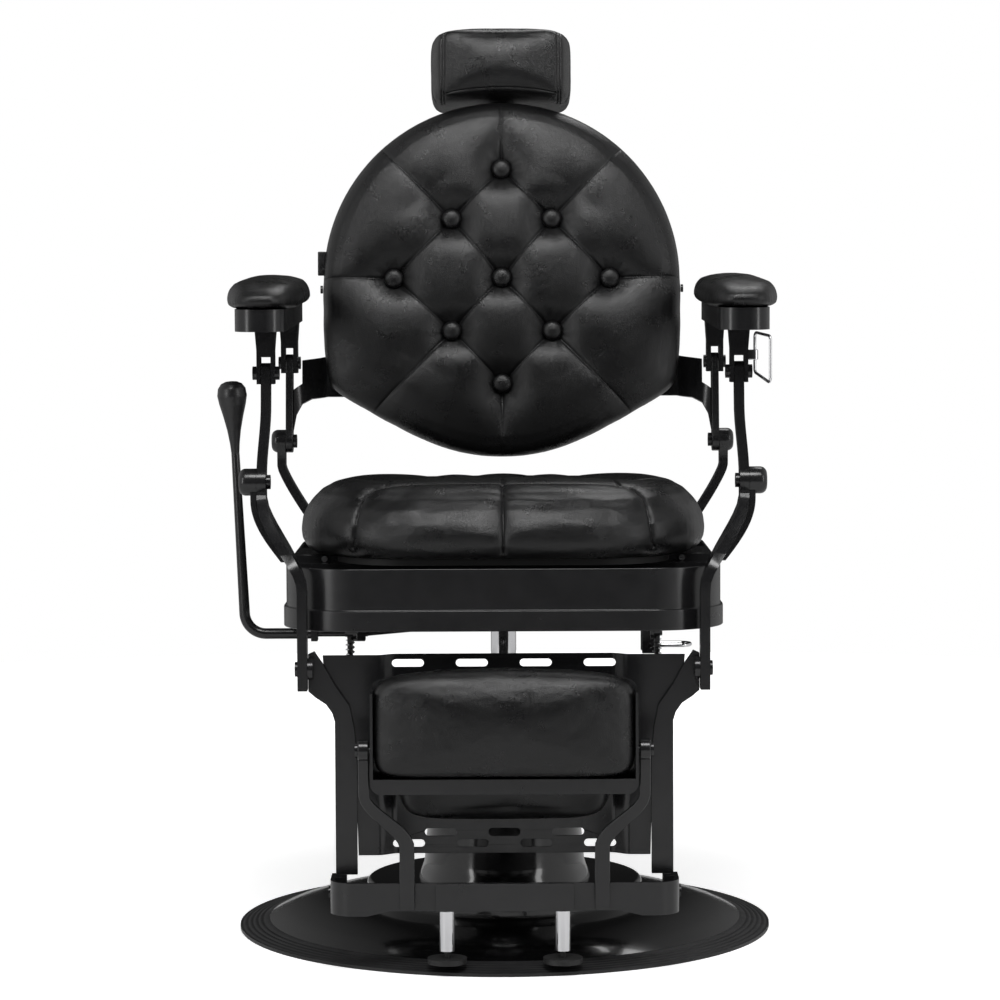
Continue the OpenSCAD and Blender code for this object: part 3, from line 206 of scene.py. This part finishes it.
def smooth_by_angle(limit):
    """Modifier group: faces are shaded smooth, and edges sharper than the limit stay sharp."""
    group = bpy.data.node_groups.new("smooth_by_angle", "GeometryNodeTree")
    group.interface.new_socket("Geometry", in_out="INPUT", socket_type="NodeSocketGeometry")
    group.interface.new_socket("Geometry", in_out="OUTPUT", socket_type="NodeSocketGeometry")
    start, end = node(group, "NodeGroupInput"), node(group, "NodeGroupOutput")
    faces = node(group, "GeometryNodeSetShadeSmooth", domain="FACE")
    edges = node(group, "GeometryNodeSetShadeSmooth", domain="EDGE")
    edges.inputs["Shade Smooth"].default_value = False
    angle = node(group, "GeometryNodeInputMeshEdgeAngle")
    sharp = node(group, "ShaderNodeMath", operation="GREATER_THAN")
    sharp.inputs[1].default_value = limit
    group.links.new(angle.outputs["Unsigned Angle"], sharp.inputs[0])
    group.links.new(start.outputs[0], faces.inputs["Geometry"])
    group.links.new(faces.outputs[0], edges.inputs["Geometry"])
    group.links.new(sharp.outputs[0], edges.inputs["Selection"])
    group.links.new(edges.outputs[0], end.inputs[0])
    return group


SHARP = math.radians(33)
SMOOTH = smooth_by_angle(SHARP)
# Rounded bars, rolled sheet edges, and round pieces that have no edge to soften, in metres
BARS = {"front_levers": 0.0028, "front_uprights": 0.002, "rear_uprights": 0.002, "foot_arms": 0.002,
        "back_bars": 0.002, "armrest_left_posts": 0.0016, "armrest_right_posts": 0.0016,
        "calf_side_plates": 0.0012, "seat_skirt": 0.0012}
ROUND = {"link_springs", "base_plate", "ram", "base_dome", "pump_cover", "base_rim"}
for part in frame["record"]["subparts"]:
    ob = frame["nodes"][part["node"]]
    ob.data.materials.clear()
    ob.data.materials.append(MATERIALS[part["material_slot"]])
    if part["material_slot"] == "black_leather":
        continue
    weld = ob.modifiers.new("weld", "WELD")
    weld.merge_threshold = 0.00002
    shade = ob.modifiers.new("shade", "NODES")
    shade.node_group = SMOOTH
    if part["node"] in ROUND:
        continue
    edge = ob.modifiers.new("edge", "BEVEL")
    edge.width = BARS.get(part["node"], 0.0009)
    edge.segments = 3 if part["node"] in BARS else 2
    edge.limit_method = "ANGLE"
    edge.angle_limit = SHARP
    edge.harden_normals = True
    edge.use_clamp_overlap = True


# Soft pieces are made in pad space: x across, y along, z out of the pad, in metres

def smooth(t):
    u = np.clip(t, 0, 1)
    return u * u * (3 - 2 * u)


def squircle(a, hx, hy, k):
    c, s = np.cos(a), np.sin(a)
    return np.stack([hx * np.sign(c) * np.abs(c) ** (2 / k), hy * np.sign(s) * np.abs(s) ** (2 / k)], -1)


def linked(name, data):
    ob = bpy.data.objects.new(name, data)
    scene.collection.objects.link(ob)
    return ob


def built(name, bm):
    me = bpy.data.meshes.new(name)
    bm.to_mesh(me)
    bm.free()
    return linked(name, me)


def pad_mesh(name, outline, sides, h, crown, sectors, steps):
    """Closed pad: an outline of n points, side rows of (share of outline, share of height), a crowned top."""
    a = np.linspace(0, 2 * math.pi, sectors, endpoint=False)
    base = outline(a)
    top = sides[-1][0]
    rings = [np.column_stack([base * s, np.full(sectors, z * h)]) for s, z in sides]
    for j in range(1, steps):
        s = top * (1 - j / steps)
        rise = h * sides[-1][1] + crown * (1 - (s / top) ** 2)
        rings.append(np.column_stack([base * s, np.full(sectors, rise)]))
    low = [[0, 0, 0]]
    high = [[0, 0, h * sides[-1][1] + crown]]
    # The flat back is closed with rings as well, so that a remesh meets no long thin faces
    backs = [np.column_stack([base * sides[0][0] * s, np.zeros(sectors)]) for s in (0.25, 0.5, 0.75)]
    rings = backs + rings
    verts = np.vstack([low] + rings + [high])
    faces = []
    last = len(verts) - 1
    for i in range(sectors):
        k = (i + 1) % sectors
        faces.append((0, 1 + k, 1 + i))
        faces.append((last, last - sectors + i, last - sectors + k))
        for j in range(len(rings) - 1):
            p = 1 + j * sectors
            faces.append((p + i, p + k, p + sectors + k, p + sectors + i))
    me = bpy.data.meshes.new(name)
    me.from_pydata([tuple(v) for v in verts], [], faces)
    me.validate()
    ob = linked(name, me)
    bm = bmesh.new()
    bm.from_mesh(me)
    bmesh.ops.recalc_face_normals(bm, faces=bm.faces)
    bm.to_mesh(me)
    bm.free()
    return ob


def get(ob):
    co = np.empty(len(ob.data.vertices) * 3)
    ob.data.vertices.foreach_get("co", co)
    return co.reshape(-1, 3)


def normals_of(ob):
    normals = np.empty(len(ob.data.vertices) * 3)
    ob.data.vertices.foreach_get("normal", normals)
    return normals.reshape(-1, 3)


def put(ob, co):
    ob.data.vertices.foreach_set("co", np.ascontiguousarray(co, dtype=float).ravel())
    ob.data.update()


def baked(ob):
    """Replaces the mesh by what its modifiers give."""
    dg = bpy.context.evaluated_depsgraph_get()
    me = bpy.data.meshes.new_from_object(ob.evaluated_get(dg))
    ob.modifiers.clear()
    old = ob.data
    ob.data = me
    me.name = ob.name
    bpy.data.meshes.remove(old)
    return ob


def remesh(ob, size):
    m = ob.modifiers.new("remesh", "REMESH")
    m.mode = "VOXEL"
    m.voxel_size = size
    m.use_smooth_shade = True
    return baked(ob)


def subsurf(ob, name, levels):
    m = ob.modifiers.new(name, "SUBSURF")
    m.levels = levels
    m.render_levels = levels


def subdivide(ob):
    subsurf(ob, "sub", 1)
    return baked(ob)


def evened(ob, move, rounds):
    """Smooths the moves of a mesh's points among their neighbours."""
    edges = np.empty(len(ob.data.edges) * 2, dtype=np.int64)
    ob.data.edges.foreach_get("vertices", edges)
    a, b = edges.reshape(-1, 2).T
    count = np.bincount(np.concatenate([a, b]), minlength=len(move))[:, None]
    for _ in range(rounds):
        total = np.zeros_like(move)
        np.add.at(total, a, move[b])
        np.add.at(total, b, move[a])
        move = 0.5 * move + 0.5 * total / np.maximum(count, 1)
    return move


def inflate(ob, pins, cap, pressure=4.0, frames=20, tension=15.0, bending=0.5, rounds=6):
    """Cloth with air inside: pinned points stay, the rest swells, and no point moves further than cap."""
    rest = get(ob)
    group = ob.vertex_groups.new(name="pin")
    group.add([int(i) for i in np.nonzero(pins)[0]], 1.0, "REPLACE")
    m = ob.modifiers.new("cloth", "CLOTH")
    s = m.settings
    s.quality = 5
    s.mass = 0.3
    s.tension_stiffness = tension
    s.compression_stiffness = tension
    s.shear_stiffness = 5
    s.bending_stiffness = bending
    s.use_pressure = True
    s.uniform_pressure_force = pressure
    s.effector_weights.gravity = 0
    s.vertex_group_mass = "pin"
    m.point_cache.frame_start = 1
    m.point_cache.frame_end = frames
    for f in range(1, frames + 1):
        scene.frame_set(f)
    dg = bpy.context.evaluated_depsgraph_get()
    ev = ob.evaluated_get(dg)
    me = ev.to_mesh()
    new = np.empty(len(me.vertices) * 3)
    me.vertices.foreach_get("co", new)
    new = new.reshape(-1, 3)
    ev.to_mesh_clear()
    ob.modifiers.clear()
    ob.vertex_groups.clear()
    scene.frame_set(1)
    move = new - rest
    length = np.linalg.norm(move, axis=1, keepdims=True)
    move *= np.minimum(1, cap / np.maximum(length, 1e-9))
    put(ob, rest + evened(ob, move, rounds) * np.where(pins, 0.3, 1)[:, None])
    return ob


def off_lines(p, lines):
    """For each point the distance to every line and how far along it the nearest point is (0 to 1)."""
    d = np.empty((len(p), len(lines)))
    t = np.empty_like(d)
    for i, (a, b) in enumerate(lines):
        a, b = np.asarray(a, float), np.asarray(b, float)
        e = b - a
        u = np.clip((p - a) @ e / (e @ e), 0, 1)
        t[:, i] = u
        d[:, i] = np.linalg.norm(p - a - u[:, None] * e, axis=1)
    return d, t


def stepped(path, step=0.001):
    """Points every step along a path, with how far along it each is (0 to 1)."""
    path = np.asarray(path, float)
    length = np.concatenate([[0], np.cumsum(np.linalg.norm(np.diff(path, axis=0), axis=1))])
    s = np.linspace(0, length[-1], max(2, int(length[-1] / step)))
    return np.column_stack([np.interp(s, length, path[:, i]) for i in range(path.shape[1])]), s / length[-1]


# Height in a pad's space that is above every pad
ABOVE = 0.3


def on_surface(ob, path):
    """A path laid on a pad: [x, y] is dropped on its face, [x, y, z] goes to the nearest point."""
    tree = BVHTree.FromPolygons([v.co for v in ob.data.vertices], [p.vertices[:] for p in ob.data.polygons])
    points, t = stepped(path)
    out = []
    for p, u in zip(points, t):
        hit = (tree.ray_cast(Vector((*p, ABOVE)), Vector((0, 0, -1))) if len(p) == 2
               else tree.find_nearest(Vector(p)))[0]
        if hit is not None:
            out.append((hit, u))
    return out


def refine(ob, near, reach):
    """Halves the faces whose points are all closer than reach to a seam."""
    bm = bmesh.new()
    bm.from_mesh(ob.data)
    inside = [near.find(v.co)[2] < reach for v in bm.verts]
    edges = [e for e in bm.edges if inside[e.verts[0].index] and inside[e.verts[1].index]]
    bmesh.ops.subdivide_edges(bm, edges=edges, cuts=1, use_grid_fill=True)
    bm.to_mesh(ob.data)
    bm.free()


def sew(ob, paths, depth, width, dip=0.0, dip_width=0.012, strength=None, passes=(0.007, 0.0035)):
    """Draws thin seams into a pad along its normals; strength gives a seam's share by how far along."""
    laid = []
    for n, path in enumerate(paths):
        share = strength(n) if strength else (lambda t: 1.0)
        laid += [(co, share(t)) for co, t in on_surface(ob, path)]
    near = kdtree.KDTree(len(laid))
    for i, (co, _) in enumerate(laid):
        near.insert(co, i)
    near.balance()
    for reach in passes:
        refine(ob, near, reach)
    share = np.array([x for _, x in laid])
    co = get(ob)
    found = [near.find(c)[1:] for c in co]
    i = np.array([f[0] for f in found])
    d = np.array([f[1] for f in found])
    drop = depth * np.exp(-(d / width) ** 1.2) + dip * np.exp(-(d / dip_width) ** 1.3)
    put(ob, co - normals_of(ob) * (drop * share[i])[:, None])


def wrinkle(ob, size, depth, stretch=(1, 1, 1), where=None):
    """Soft wrinkles of a given size, longer along some axes, of seeded noise."""
    co = get(ob)
    wave = np.array([relief_noise.turbulence(Vector(c * stretch / size), 3, False,
                                             noise_basis="PERLIN_ORIGINAL") for c in co])
    share = 1 if where is None else where(co)
    put(ob, co + normals_of(ob) * (depth * wave * share)[:, None])


def finish_piece(ob, matrix, body, material, replaced=(), level=1):
    ob.data.transform(matrix)
    ob.data.materials.clear()
    ob.data.materials.append(material)
    for p in ob.data.polygons:
        p.use_smooth = True
    if level:
        subsurf(ob, "soften", level)
    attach(ob, body)
    if replaced:
        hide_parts(*replaced)
    return ob


HINGE = (0, 0.160, 0.5875)
LEAN = math.radians(8)
BACK = Matrix.Translation(HINGE) @ Matrix.Rotation(-LEAN, 4, "X")
FRONT = Matrix.Rotation(math.radians(90), 4, "X")

# Back cushion

BACK_R = 0.227
BACK_H, BACK_CROWN = 0.062, 0.014
# The buttons follow a slightly fuller crown than the pad's, and sit this far below it
BUTTON_CROWN, BUTTON_REACH, BUTTON_SUNK = 0.016, 0.93, 0.0182
# Middle of the cushion's rear face, in the back's frame
BACK_MIDDLE = (0, 0.022, 0.205)
BACK_SHARES = [(0, 1), (10, 1.015), (18, 1.05), (25, 1.09), (30, 1.125), (33, 1.13), (36, 1.11), (44, 1.055),
               (54, 1.018), (64, 1.005), (90, 1)]
ROWS = (-2, -1.02, -0.03, 1.08, 2.02)
BUTTONS = [(k * 0.066 * (1.035 if abs(k) == 2 else 0.96), ROWS[row + 2] * 0.068)
           for row in range(-2, 3) for k in range(-2, 3) if (row + k) % 2 == 0 and abs(row) + abs(k) <= 2]
NEIGHBOURS = 0.108


def back_share(angle):
    """Share of the radius in a direction: round above, with shoulders low on each side."""
    d = np.degrees(angle) % 360
    low = np.where(d > 180, np.where(d < 270, d - 180, 360 - d), 0)
    return np.interp(low, [p[0] for p in BACK_SHARES], [p[1] for p in BACK_SHARES])


def back_outline(a):
    r = BACK_R * back_share(a)
    return np.stack([r * np.cos(a), r * np.sin(a)], -1)


def back_lines():
    """Folds between neighbouring buttons, and rays from the outer ones to the rim."""
    inner = [(b, c) for i, b in enumerate(BUTTONS) for c in BUTTONS[i + 1:] if math.dist(b, c) < NEIGHBOURS]
    rays = []
    for x, y in BUTTONS:
        if math.hypot(x, y) < 0.05:
            continue
        side, up = np.sign(round(x, 3)), np.sign(round(y, 2))
        angle = math.atan2(up * (1.08 if up > 0 else 1.05), side) if side and up else math.atan2(up, side)
        r = BACK_R * float(back_share(np.array(angle))) * 0.99
        rays.append(((x, y), (r * math.cos(angle), r * math.sin(angle))))
    return inner, rays


def back_relief(p):
    """How far the leather is drawn in at each point of the back's face, without its seams."""
    inner, rays = back_lines()
    d, t = off_lines(p, inner)
    slack = 1 - 0.5 * np.sin(math.pi * t)
    fold = (slack * np.exp(-(d / 0.0155) ** 1.25)).max(1) * 0.0085
    d, t = off_lines(p, rays)
    outer = ((1 - 0.75 * t) * np.exp(-(d / 0.0145) ** 1.25)).max(1) * 0.0075
    r = np.min([np.hypot(p[:, 0] - b[0], p[:, 1] - b[1]) for b in BUTTONS], axis=0)
    well = 0.0125 * np.exp(-(r / 0.0235) ** 2.1)
    return np.maximum(fold, outer) + well


def back_cushion():
    sides = [(0.90, 0), (0.95, 0.08), (0.985, 0.25), (1.0, 0.45), (0.997, 0.60), (0.982, 0.74), (0.952, 0.86),
             (0.90, 0.945), (0.83, 1.0)]
    ob = pad_mesh("Back_cushion", back_outline, sides, BACK_H, BACK_CROWN, 200, 40)
    remesh(ob, 0.0045)
    co = get(ob)
    front = smooth((co[:, 2] - 0.035) / 0.02)
    relief = back_relief(co[:, :2])
    co[:, 2] -= relief * front
    put(ob, co)
    inflate(ob, (co[:, 2] < 0.03) | (relief > 0.0085), 0.005, pressure=3.0, rounds=14)
    subdivide(ob)
    inner, rays = back_lines()

    def slack(t):
        return 1 - 0.35 * math.sin(math.pi * t)

    def fading(t):
        return 1 - 0.7 * t

    sew(ob, inner + rays, depth=0.0032, width=0.0017, strength=lambda n: slack if n < len(inner) else fading)
    co = get(ob)
    front = smooth((co[:, 2] - 0.03) / 0.02)
    # Fine puckers that run out of each button
    for n, b in enumerate(BUTTONS):
        dx, dy = co[:, 0] - b[0], co[:, 1] - b[1]
        r, a = np.hypot(dx, dy), np.arctan2(dy, dx)
        wave = np.sin((9 + n % 3) * a + n * 1.7) * np.exp(-((r - 0.017) / 0.011) ** 2)
        co[:, 2] += 0.0003 * wave * front
    put(ob, co)
    place = BACK @ Matrix.Translation(BACK_MIDDLE) @ FRONT
    finish_piece(ob, place, "back", LEATHER, ("back_cushion",), level=0)
    return place


def back_buttons(place):
    profile = [(0.0118, 0.0), (0.0123, 0.0025), (0.0119, 0.0052), (0.0099, 0.0079), (0.0062, 0.0095)]
    top, sectors = 0.0101, 32
    bm = bmesh.new()
    for x, y in BUTTONS:
        z0 = BACK_H + BUTTON_CROWN * (1 - (math.hypot(x, y) / BACK_R / BUTTON_REACH) ** 2) - BUTTON_SUNK
        turns = [2 * math.pi * i / sectors for i in range(sectors)]
        rings = [[bm.verts.new((x + r * math.cos(a), y + r * math.sin(a), z0 + z)) for a in turns]
                 for r, z in profile]
        low = bm.verts.new((x, y, z0))
        high = bm.verts.new((x, y, z0 + top))
        for i in range(sectors):
            k = (i + 1) % sectors
            bm.faces.new((low, rings[0][k], rings[0][i]))
            bm.faces.new((high, rings[-1][i], rings[-1][k]))
            for a, b in zip(rings, rings[1:]):
                bm.faces.new((a[i], a[k], b[k], b[i]))
    finish_piece(built("Back_buttons", bm), place, "back", BUTTON_LEATHER, ("back_buttons",), level=2)


def back_tag(place):
    """Small bare tab sewn into the left side of the cushion."""
    w, h, t = 0.013, 0.031, 0.0014
    bm = bmesh.new()
    bmesh.ops.create_grid(bm, x_segments=6, y_segments=10, size=0.5)
    for v in bm.verts:
        x, y = v.co.x, v.co.y
        curl = 0.0016 * math.sin(2.2 * (x + 0.5)) * (1 + y)
        v.co = (-BACK_R * 0.975 - w * (x + 0.5), 0.021 + h * y, 0.029 + curl)
    bmesh.ops.recalc_face_normals(bm, faces=bm.faces)
    ob = built("Back_tag", bm)
    m = ob.modifiers.new("thick", "SOLIDIFY")
    m.thickness = t
    m.offset = 0
    finish_piece(ob, place, "back", LEATHER, level=2)


back_place = back_cushion()
back_buttons(back_place)
back_tag(back_place)


# Seat cushion

SEAT_HW, SEAT_HY = 0.243, 0.2365
SEAT_MID, SEAT_Z, SEAT_H = -0.0245, 0.4686, 0.080
# Share of its height that the cushion falls toward the rear
SEAT_FALL = 0.16
TUFTS = [(-0.121, -0.0473), (0, -0.0473), (0.121, -0.0473), (-0.0605, 0.0946), (0.0605, 0.0946)]


def seat_relief(p):
    lines = [(a, b) for i, a in enumerate(TUFTS) for b in TUFTS[i + 1:] if math.dist(a, b) < 0.157]
    d, t = off_lines(p, lines)
    fold = ((1 - 0.45 * np.sin(math.pi * t)) * np.exp(-(d / 0.016) ** 1.25)).max(1) * 0.0075
    r = np.min([np.hypot(p[:, 0] - b[0], p[:, 1] - b[1]) for b in TUFTS], axis=0)
    return fold + 0.011 * np.exp(-(r / 0.022) ** 1.6), lines


def seat_cushion():
    sides = [(0.93, 0), (0.965, 0.06), (0.992, 0.17), (1.0, 0.3), (0.99, 0.52), (0.96, 0.72), (0.91, 0.88),
             (0.84, 0.97)]
    ob = pad_mesh("Seat_cushion", lambda a: squircle(a, SEAT_HW, SEAT_HY, 3.2), sides, SEAT_H, 0.009, 200, 40)
    remesh(ob, 0.005)
    co = get(ob)
    co[:, 2] -= SEAT_FALL * SEAT_H * smooth(co[:, 1] / SEAT_HY) * smooth(co[:, 2] / SEAT_H)
    relief, lines = seat_relief(co[:, :2])
    top = smooth((co[:, 2] - 0.045) / 0.02)
    co[:, 2] -= relief * top
    put(ob, co)
    inflate(ob, (co[:, 2] < 0.01) | (relief * top > 0.0085), 0.005, pressure=3.0, rounds=14)
    subdivide(ob)
    # Top seams run forward from the tufts to the front edge and on down the front
    front_y = -0.152
    top_seams = [((x, -0.0473), (x * 1.12, front_y)) for x in (-0.121, 0, 0.121)]
    side_seams = [((s * 0.121, -0.0473), (s * 0.236, -0.02)) for s in (-1, 1)]
    rear_seams = [((s * 0.0605, 0.0946), (s * 0.085, 0.23)) for s in (-1, 1)]
    sew(ob, lines + top_seams + side_seams + rear_seams, depth=0.0028, width=0.0017)
    edge = [(-0.150, front_y - 0.008), (-0.11, front_y), (0, front_y - 0.004), (0.11, front_y),
            (0.150, front_y - 0.008)]
    down = [[(0, -0.160, 0.088), (0, -0.205, 0.072), (0, -0.2365, 0.03), (0, -0.228, 0.004)]]
    for s in (-1, 1):
        down.append([(s * 0.150, -0.160, 0.086), (s * 0.164, -0.182, 0.079), (s * 0.174, -0.205, 0.064),
                     (s * 0.180, -0.218, 0.045), (s * 0.183, -0.22, 0.02), (s * 0.183, -0.21, 0.004)])
    sew(ob, [edge] + down, depth=0.0028, width=0.0017, dip=0.0030, dip_width=0.009)
    wrinkle(ob, 0.03, 0.0005, (0.6, 1, 1.6), lambda c: smooth((-c[:, 1] - 0.12) / 0.06))
    place = Matrix.Translation((0, SEAT_MID, SEAT_Z))
    finish_piece(ob, place, "seat", LEATHER, ("seat_cushion",), level=0)


seat_cushion()


# Headrest

# Middle of the headrest's rear face, in the back's frame
HEAD_MIDDLE = (0, 0.055, 0.480)


def headrest_cushion():
    w, hh, d = 0.180, 0.098, 0.088
    sides = [(0.97, 0), (1.0, 0.1), (1.0, 0.5), (0.965, 0.72), (0.915, 0.88), (0.87, 0.97)]
    ob = pad_mesh("Headrest_cushion", lambda a: squircle(a, w / 2, hh / 2, 6), sides, d, 0.007, 120, 16)
    remesh(ob, 0.004)
    co = get(ob)
    # The lower edge arches up in the middle, most of all at the front, and hangs lower at the rear corners
    arch = 0.004 + 0.009 * smooth(co[:, 2] / d)
    below = np.clip(-2 * co[:, 1] / hh, 0, 1)
    lobe = 0.007 * smooth((np.abs(co[:, 0]) - 0.045) / 0.035) * (1 - smooth(co[:, 2] / d))
    co[:, 1] += (arch * (1 - (2 * co[:, 0] / w) ** 2) - lobe - 0.0057 * smooth(co[:, 2] / d)) * below
    put(ob, co)
    inflate(ob, co[:, 2] < 0.006, 0.002, pressure=2.0, rounds=14)
    subdivide(ob)
    seams = [[(s * x, -0.047), (s * x, 0.044)] for s in (-1, 1) for x in (0.0722, 0.0758)]
    low = [(x, -0.0445 + 0.0125 * (1 - (x / 0.09) ** 2)) for x in np.linspace(-0.074, 0.074, 15)]
    sides_down = [[(s * 0.09, 0.047, 0.052), (s * 0.09, 0.0, 0.050), (s * 0.088, -0.047, 0.052)]
                  for s in (-1, 1)]
    sew(ob, seams + [low] + sides_down, depth=0.0016, width=0.0011)
    wrinkle(ob, 0.03, 0.0003)
    place = BACK @ Matrix.Translation(HEAD_MIDDLE) @ FRONT
    finish_piece(ob, place, "headrest", LEATHER, ("headrest_cushion",), level=0)


headrest_cushion()


# Armrest pads

# Start of an armrest's frame, above the pin of its front fork, and from there the middle of its pad's
# underside
ARM_START = (0.282, -0.132047, 0.732745)
ARM_TILT = math.radians(1.5)
ARM_PAD = (0, -0.066 + 0.183, 0.0263)


def armrest_pad(side):
    name = "left" if side < 0 else "right"
    sides = [(0.88, 0), (0.965, 0.06), (1.0, 0.24), (0.985, 0.48), (0.93, 0.7), (0.84, 0.86)]
    ob = pad_mesh("Armrest_pad_" + name, lambda a: squircle(a, 0.045, 0.191, 3.4), sides, 0.0323, 0.0057,
                  140, 14)
    remesh(ob, 0.004)
    co = get(ob)
    inflate(ob, co[:, 2] < 0.006, 0.003, pressure=2.5)
    subdivide(ob)
    wrinkle(ob, 0.035, 0.0005, (1, 0.6, 1))
    x, y, z = ARM_START
    tilt = Matrix.Rotation(ARM_TILT, 4, "X")
    place = Matrix.Translation((side * x, y, z)) @ tilt @ Matrix.Translation(ARM_PAD)
    finish_piece(ob, place, "armrest_" + name, LEATHER, (f"armrest_{name}_pad",), level=0)


armrest_pad(-1)
armrest_pad(1)


# Leg rest cushions

CALF_MIDDLE = (0, -0.2303, 0.2465)
# The flip pad's pivot, and how far behind it the cushion's rear face lies
FLIP_Y, FLIP_Z = -0.338, 0.262
FLIP_BEHIND = 0.0167


def calf_cushion():
    sides = [(0.96, 0), (0.998, 0.2), (0.998, 0.55), (0.975, 0.85), (0.94, 1)]
    ob = pad_mesh("Calf_cushion", lambda a: squircle(a, 0.1215, 0.078, 7), sides, 0.030, 0.006, 120, 20)
    remesh(ob, 0.0045)
    inflate(ob, get(ob)[:, 2] < 0.005, 0.004, pressure=2.5)
    subdivide(ob)
    place = Matrix.Translation(CALF_MIDDLE) @ FRONT
    finish_piece(ob, place, "leg_rest", LEATHER, ("calf_cushion",), level=0)


calf_cushion()


def flip_cushion():
    hw = 0.147
    low, high = -0.0307, 0.092

    def outline(a):
        p = squircle(a, hw, (high - low) / 2, 9)
        return np.column_stack([p[:, 0], p[:, 1] - np.where(p[:, 1] > 0, 0.010 * (p[:, 0] / hw) ** 2, 0)])

    sides = [(1, 0), (1, 0.45), (0.996, 0.62), (0.978, 0.76), (0.94, 0.88), (0.87, 0.97)]
    ob = pad_mesh("Flip_cushion", outline, sides, 0.043, 0.0175, 140, 20)
    remesh(ob, 0.0045)
    inflate(ob, get(ob)[:, 2] < 0.03, 0.006, pressure=3.5)
    subdivide(ob)
    wrinkle(ob, 0.022, 0.0006, (0.7, 1, 1), lambda c: smooth((c[:, 2] - 0.03) / 0.012))
    place = Matrix.Translation((0, FLIP_Y + FLIP_BEHIND, FLIP_Z + (low + high) / 2)) @ FRONT
    finish_piece(ob, place, "flip_pad", LEATHER, ("flip_cushion",), level=0)


flip_cushion()


# Camera, solved from the photograph

cam_data = bpy.data.cameras.new("Camera")
cam_data.lens = 117.9
cam_data.sensor_width = 36
cam_data.clip_end = 60
cam = linked("Camera", cam_data)
# Horizon above the picture's middle and focal length, in pixels, and the roll in radians
HORIZON, FOCAL, ROLL = 214.7, 3275, -0.0045
pitch = math.atan(HORIZON / FOCAL)
turn = Matrix.Rotation(math.radians(90) - pitch, 4, "X") @ Matrix.Rotation(ROLL, 4, "Z")
cam.matrix_world = Matrix.Translation((-0.0035, -4.0, 0.784)) @ turn
scene.camera = cam


# Studio: pale floor, white surroundings for the camera, soft lamps

def mixed(nt, factor, first, second):
    mix = node(nt, "ShaderNodeMixShader")
    nt.links.new(factor, mix.inputs["Fac"])
    nt.links.new(first, mix.inputs[1])
    nt.links.new(second, mix.inputs[2])
    return mix.outputs[0]


def floor():
    radius = 3.0
    bm = bmesh.new()
    bmesh.ops.create_circle(bm, cap_ends=True, segments=96, radius=radius)
    ob = built("Floor", bm)
    m, nt, bsdf = shader("floor_white", (0.9, 0.9, 0.9), 0.6)
    c = coords(nt)
    nt.links.new(mapped(nt, noise(nt, c, 3, 2), 0.55, 0.65), bsdf.inputs["Roughness"])
    # The camera sees it lifted to white, most of all away from the object, and its shadow stays
    path = node(nt, "ShaderNodeLightPath")
    away = node(nt, "ShaderNodeVectorMath", operation="LENGTH")
    nt.links.new(c, away.inputs[0])
    glow = node(nt, "ShaderNodeEmission")
    nt.links.new(mapped(nt, away.outputs["Value"], 0.55, 1.0, 0.5, 1.6), glow.inputs["Strength"])
    both = node(nt, "ShaderNodeAddShader")
    nt.links.new(bsdf.outputs[0], both.inputs[0])
    nt.links.new(glow.outputs[0], both.inputs[1])
    lifted = mixed(nt, path.outputs["Is Camera Ray"], bsdf.outputs[0], both.outputs[0])
    nt.links.new(lifted, nt.nodes["Material Output"].inputs["Surface"])
    ob.data.materials.append(m)


def surroundings():
    """White to the camera and through glass. Reflections meet a dim room with white walls on both sides."""
    world = bpy.data.worlds.new("World")
    scene.world = world
    world.use_nodes = True
    nt = world.node_tree

    def ground(strength):
        n = node(nt, "ShaderNodeBackground")
        n.inputs["Color"].default_value = (1, 1, 1, 1)
        n.inputs["Strength"].default_value = strength
        return n

    room, white, mirrored = ground(0.17), ground(1.0), ground(1.0)
    split = node(nt, "ShaderNodeSeparateXYZ")
    nt.links.new(node(nt, "ShaderNodeTexCoord").outputs["Generated"], split.inputs[0])
    aside = node(nt, "ShaderNodeMath", operation="ABSOLUTE")
    nt.links.new(split.outputs["X"], aside.inputs[0])
    nt.links.new(mapped(nt, aside.outputs[0], 0.015, 0.65, 0.1, 0.85), mirrored.inputs["Strength"])
    path = node(nt, "ShaderNodeLightPath")
    seen = node(nt, "ShaderNodeMath", operation="MAXIMUM")
    nt.links.new(path.outputs["Is Camera Ray"], seen.inputs[0])
    nt.links.new(path.outputs["Is Transmission Ray"], seen.inputs[1])
    lit = mixed(nt, path.outputs["Is Glossy Ray"], room.outputs[0], mirrored.outputs[0])
    sky = mixed(nt, seen.outputs[0], lit, white.outputs[0])
    nt.links.new(sky, nt.nodes["World Output"].inputs["Surface"])


def lamp(name, place, aim, size, power, tall=None):
    data = bpy.data.lights.new(name, "AREA")
    data.shape = "RECTANGLE"
    data.size = size
    data.size_y = tall or size
    data.energy = power
    ob = linked(name, data)
    ob.location = place
    ob.rotation_euler = (Vector(aim) - Vector(place)).to_track_quat("-Z", "Y").to_euler()


floor()
surroundings()
lamp("Top", (0, -1.8, 3.0), (0, -0.1, 0.6), 1.7, 64, 1.0)
lamp("Left_strip", (-2.3, -2.2, 1.3), (0, 0, 0.65), 0.55, 20, 2.2)
lamp("Right_strip", (2.4, -2.0, 1.3), (0, 0, 0.65), 0.5, 15, 2.2)
lamp("Rear", (0.5, 1.8, 3.3), (0, 0, 0.7), 1.4, 24)

scene.view_settings.view_transform = "Standard"
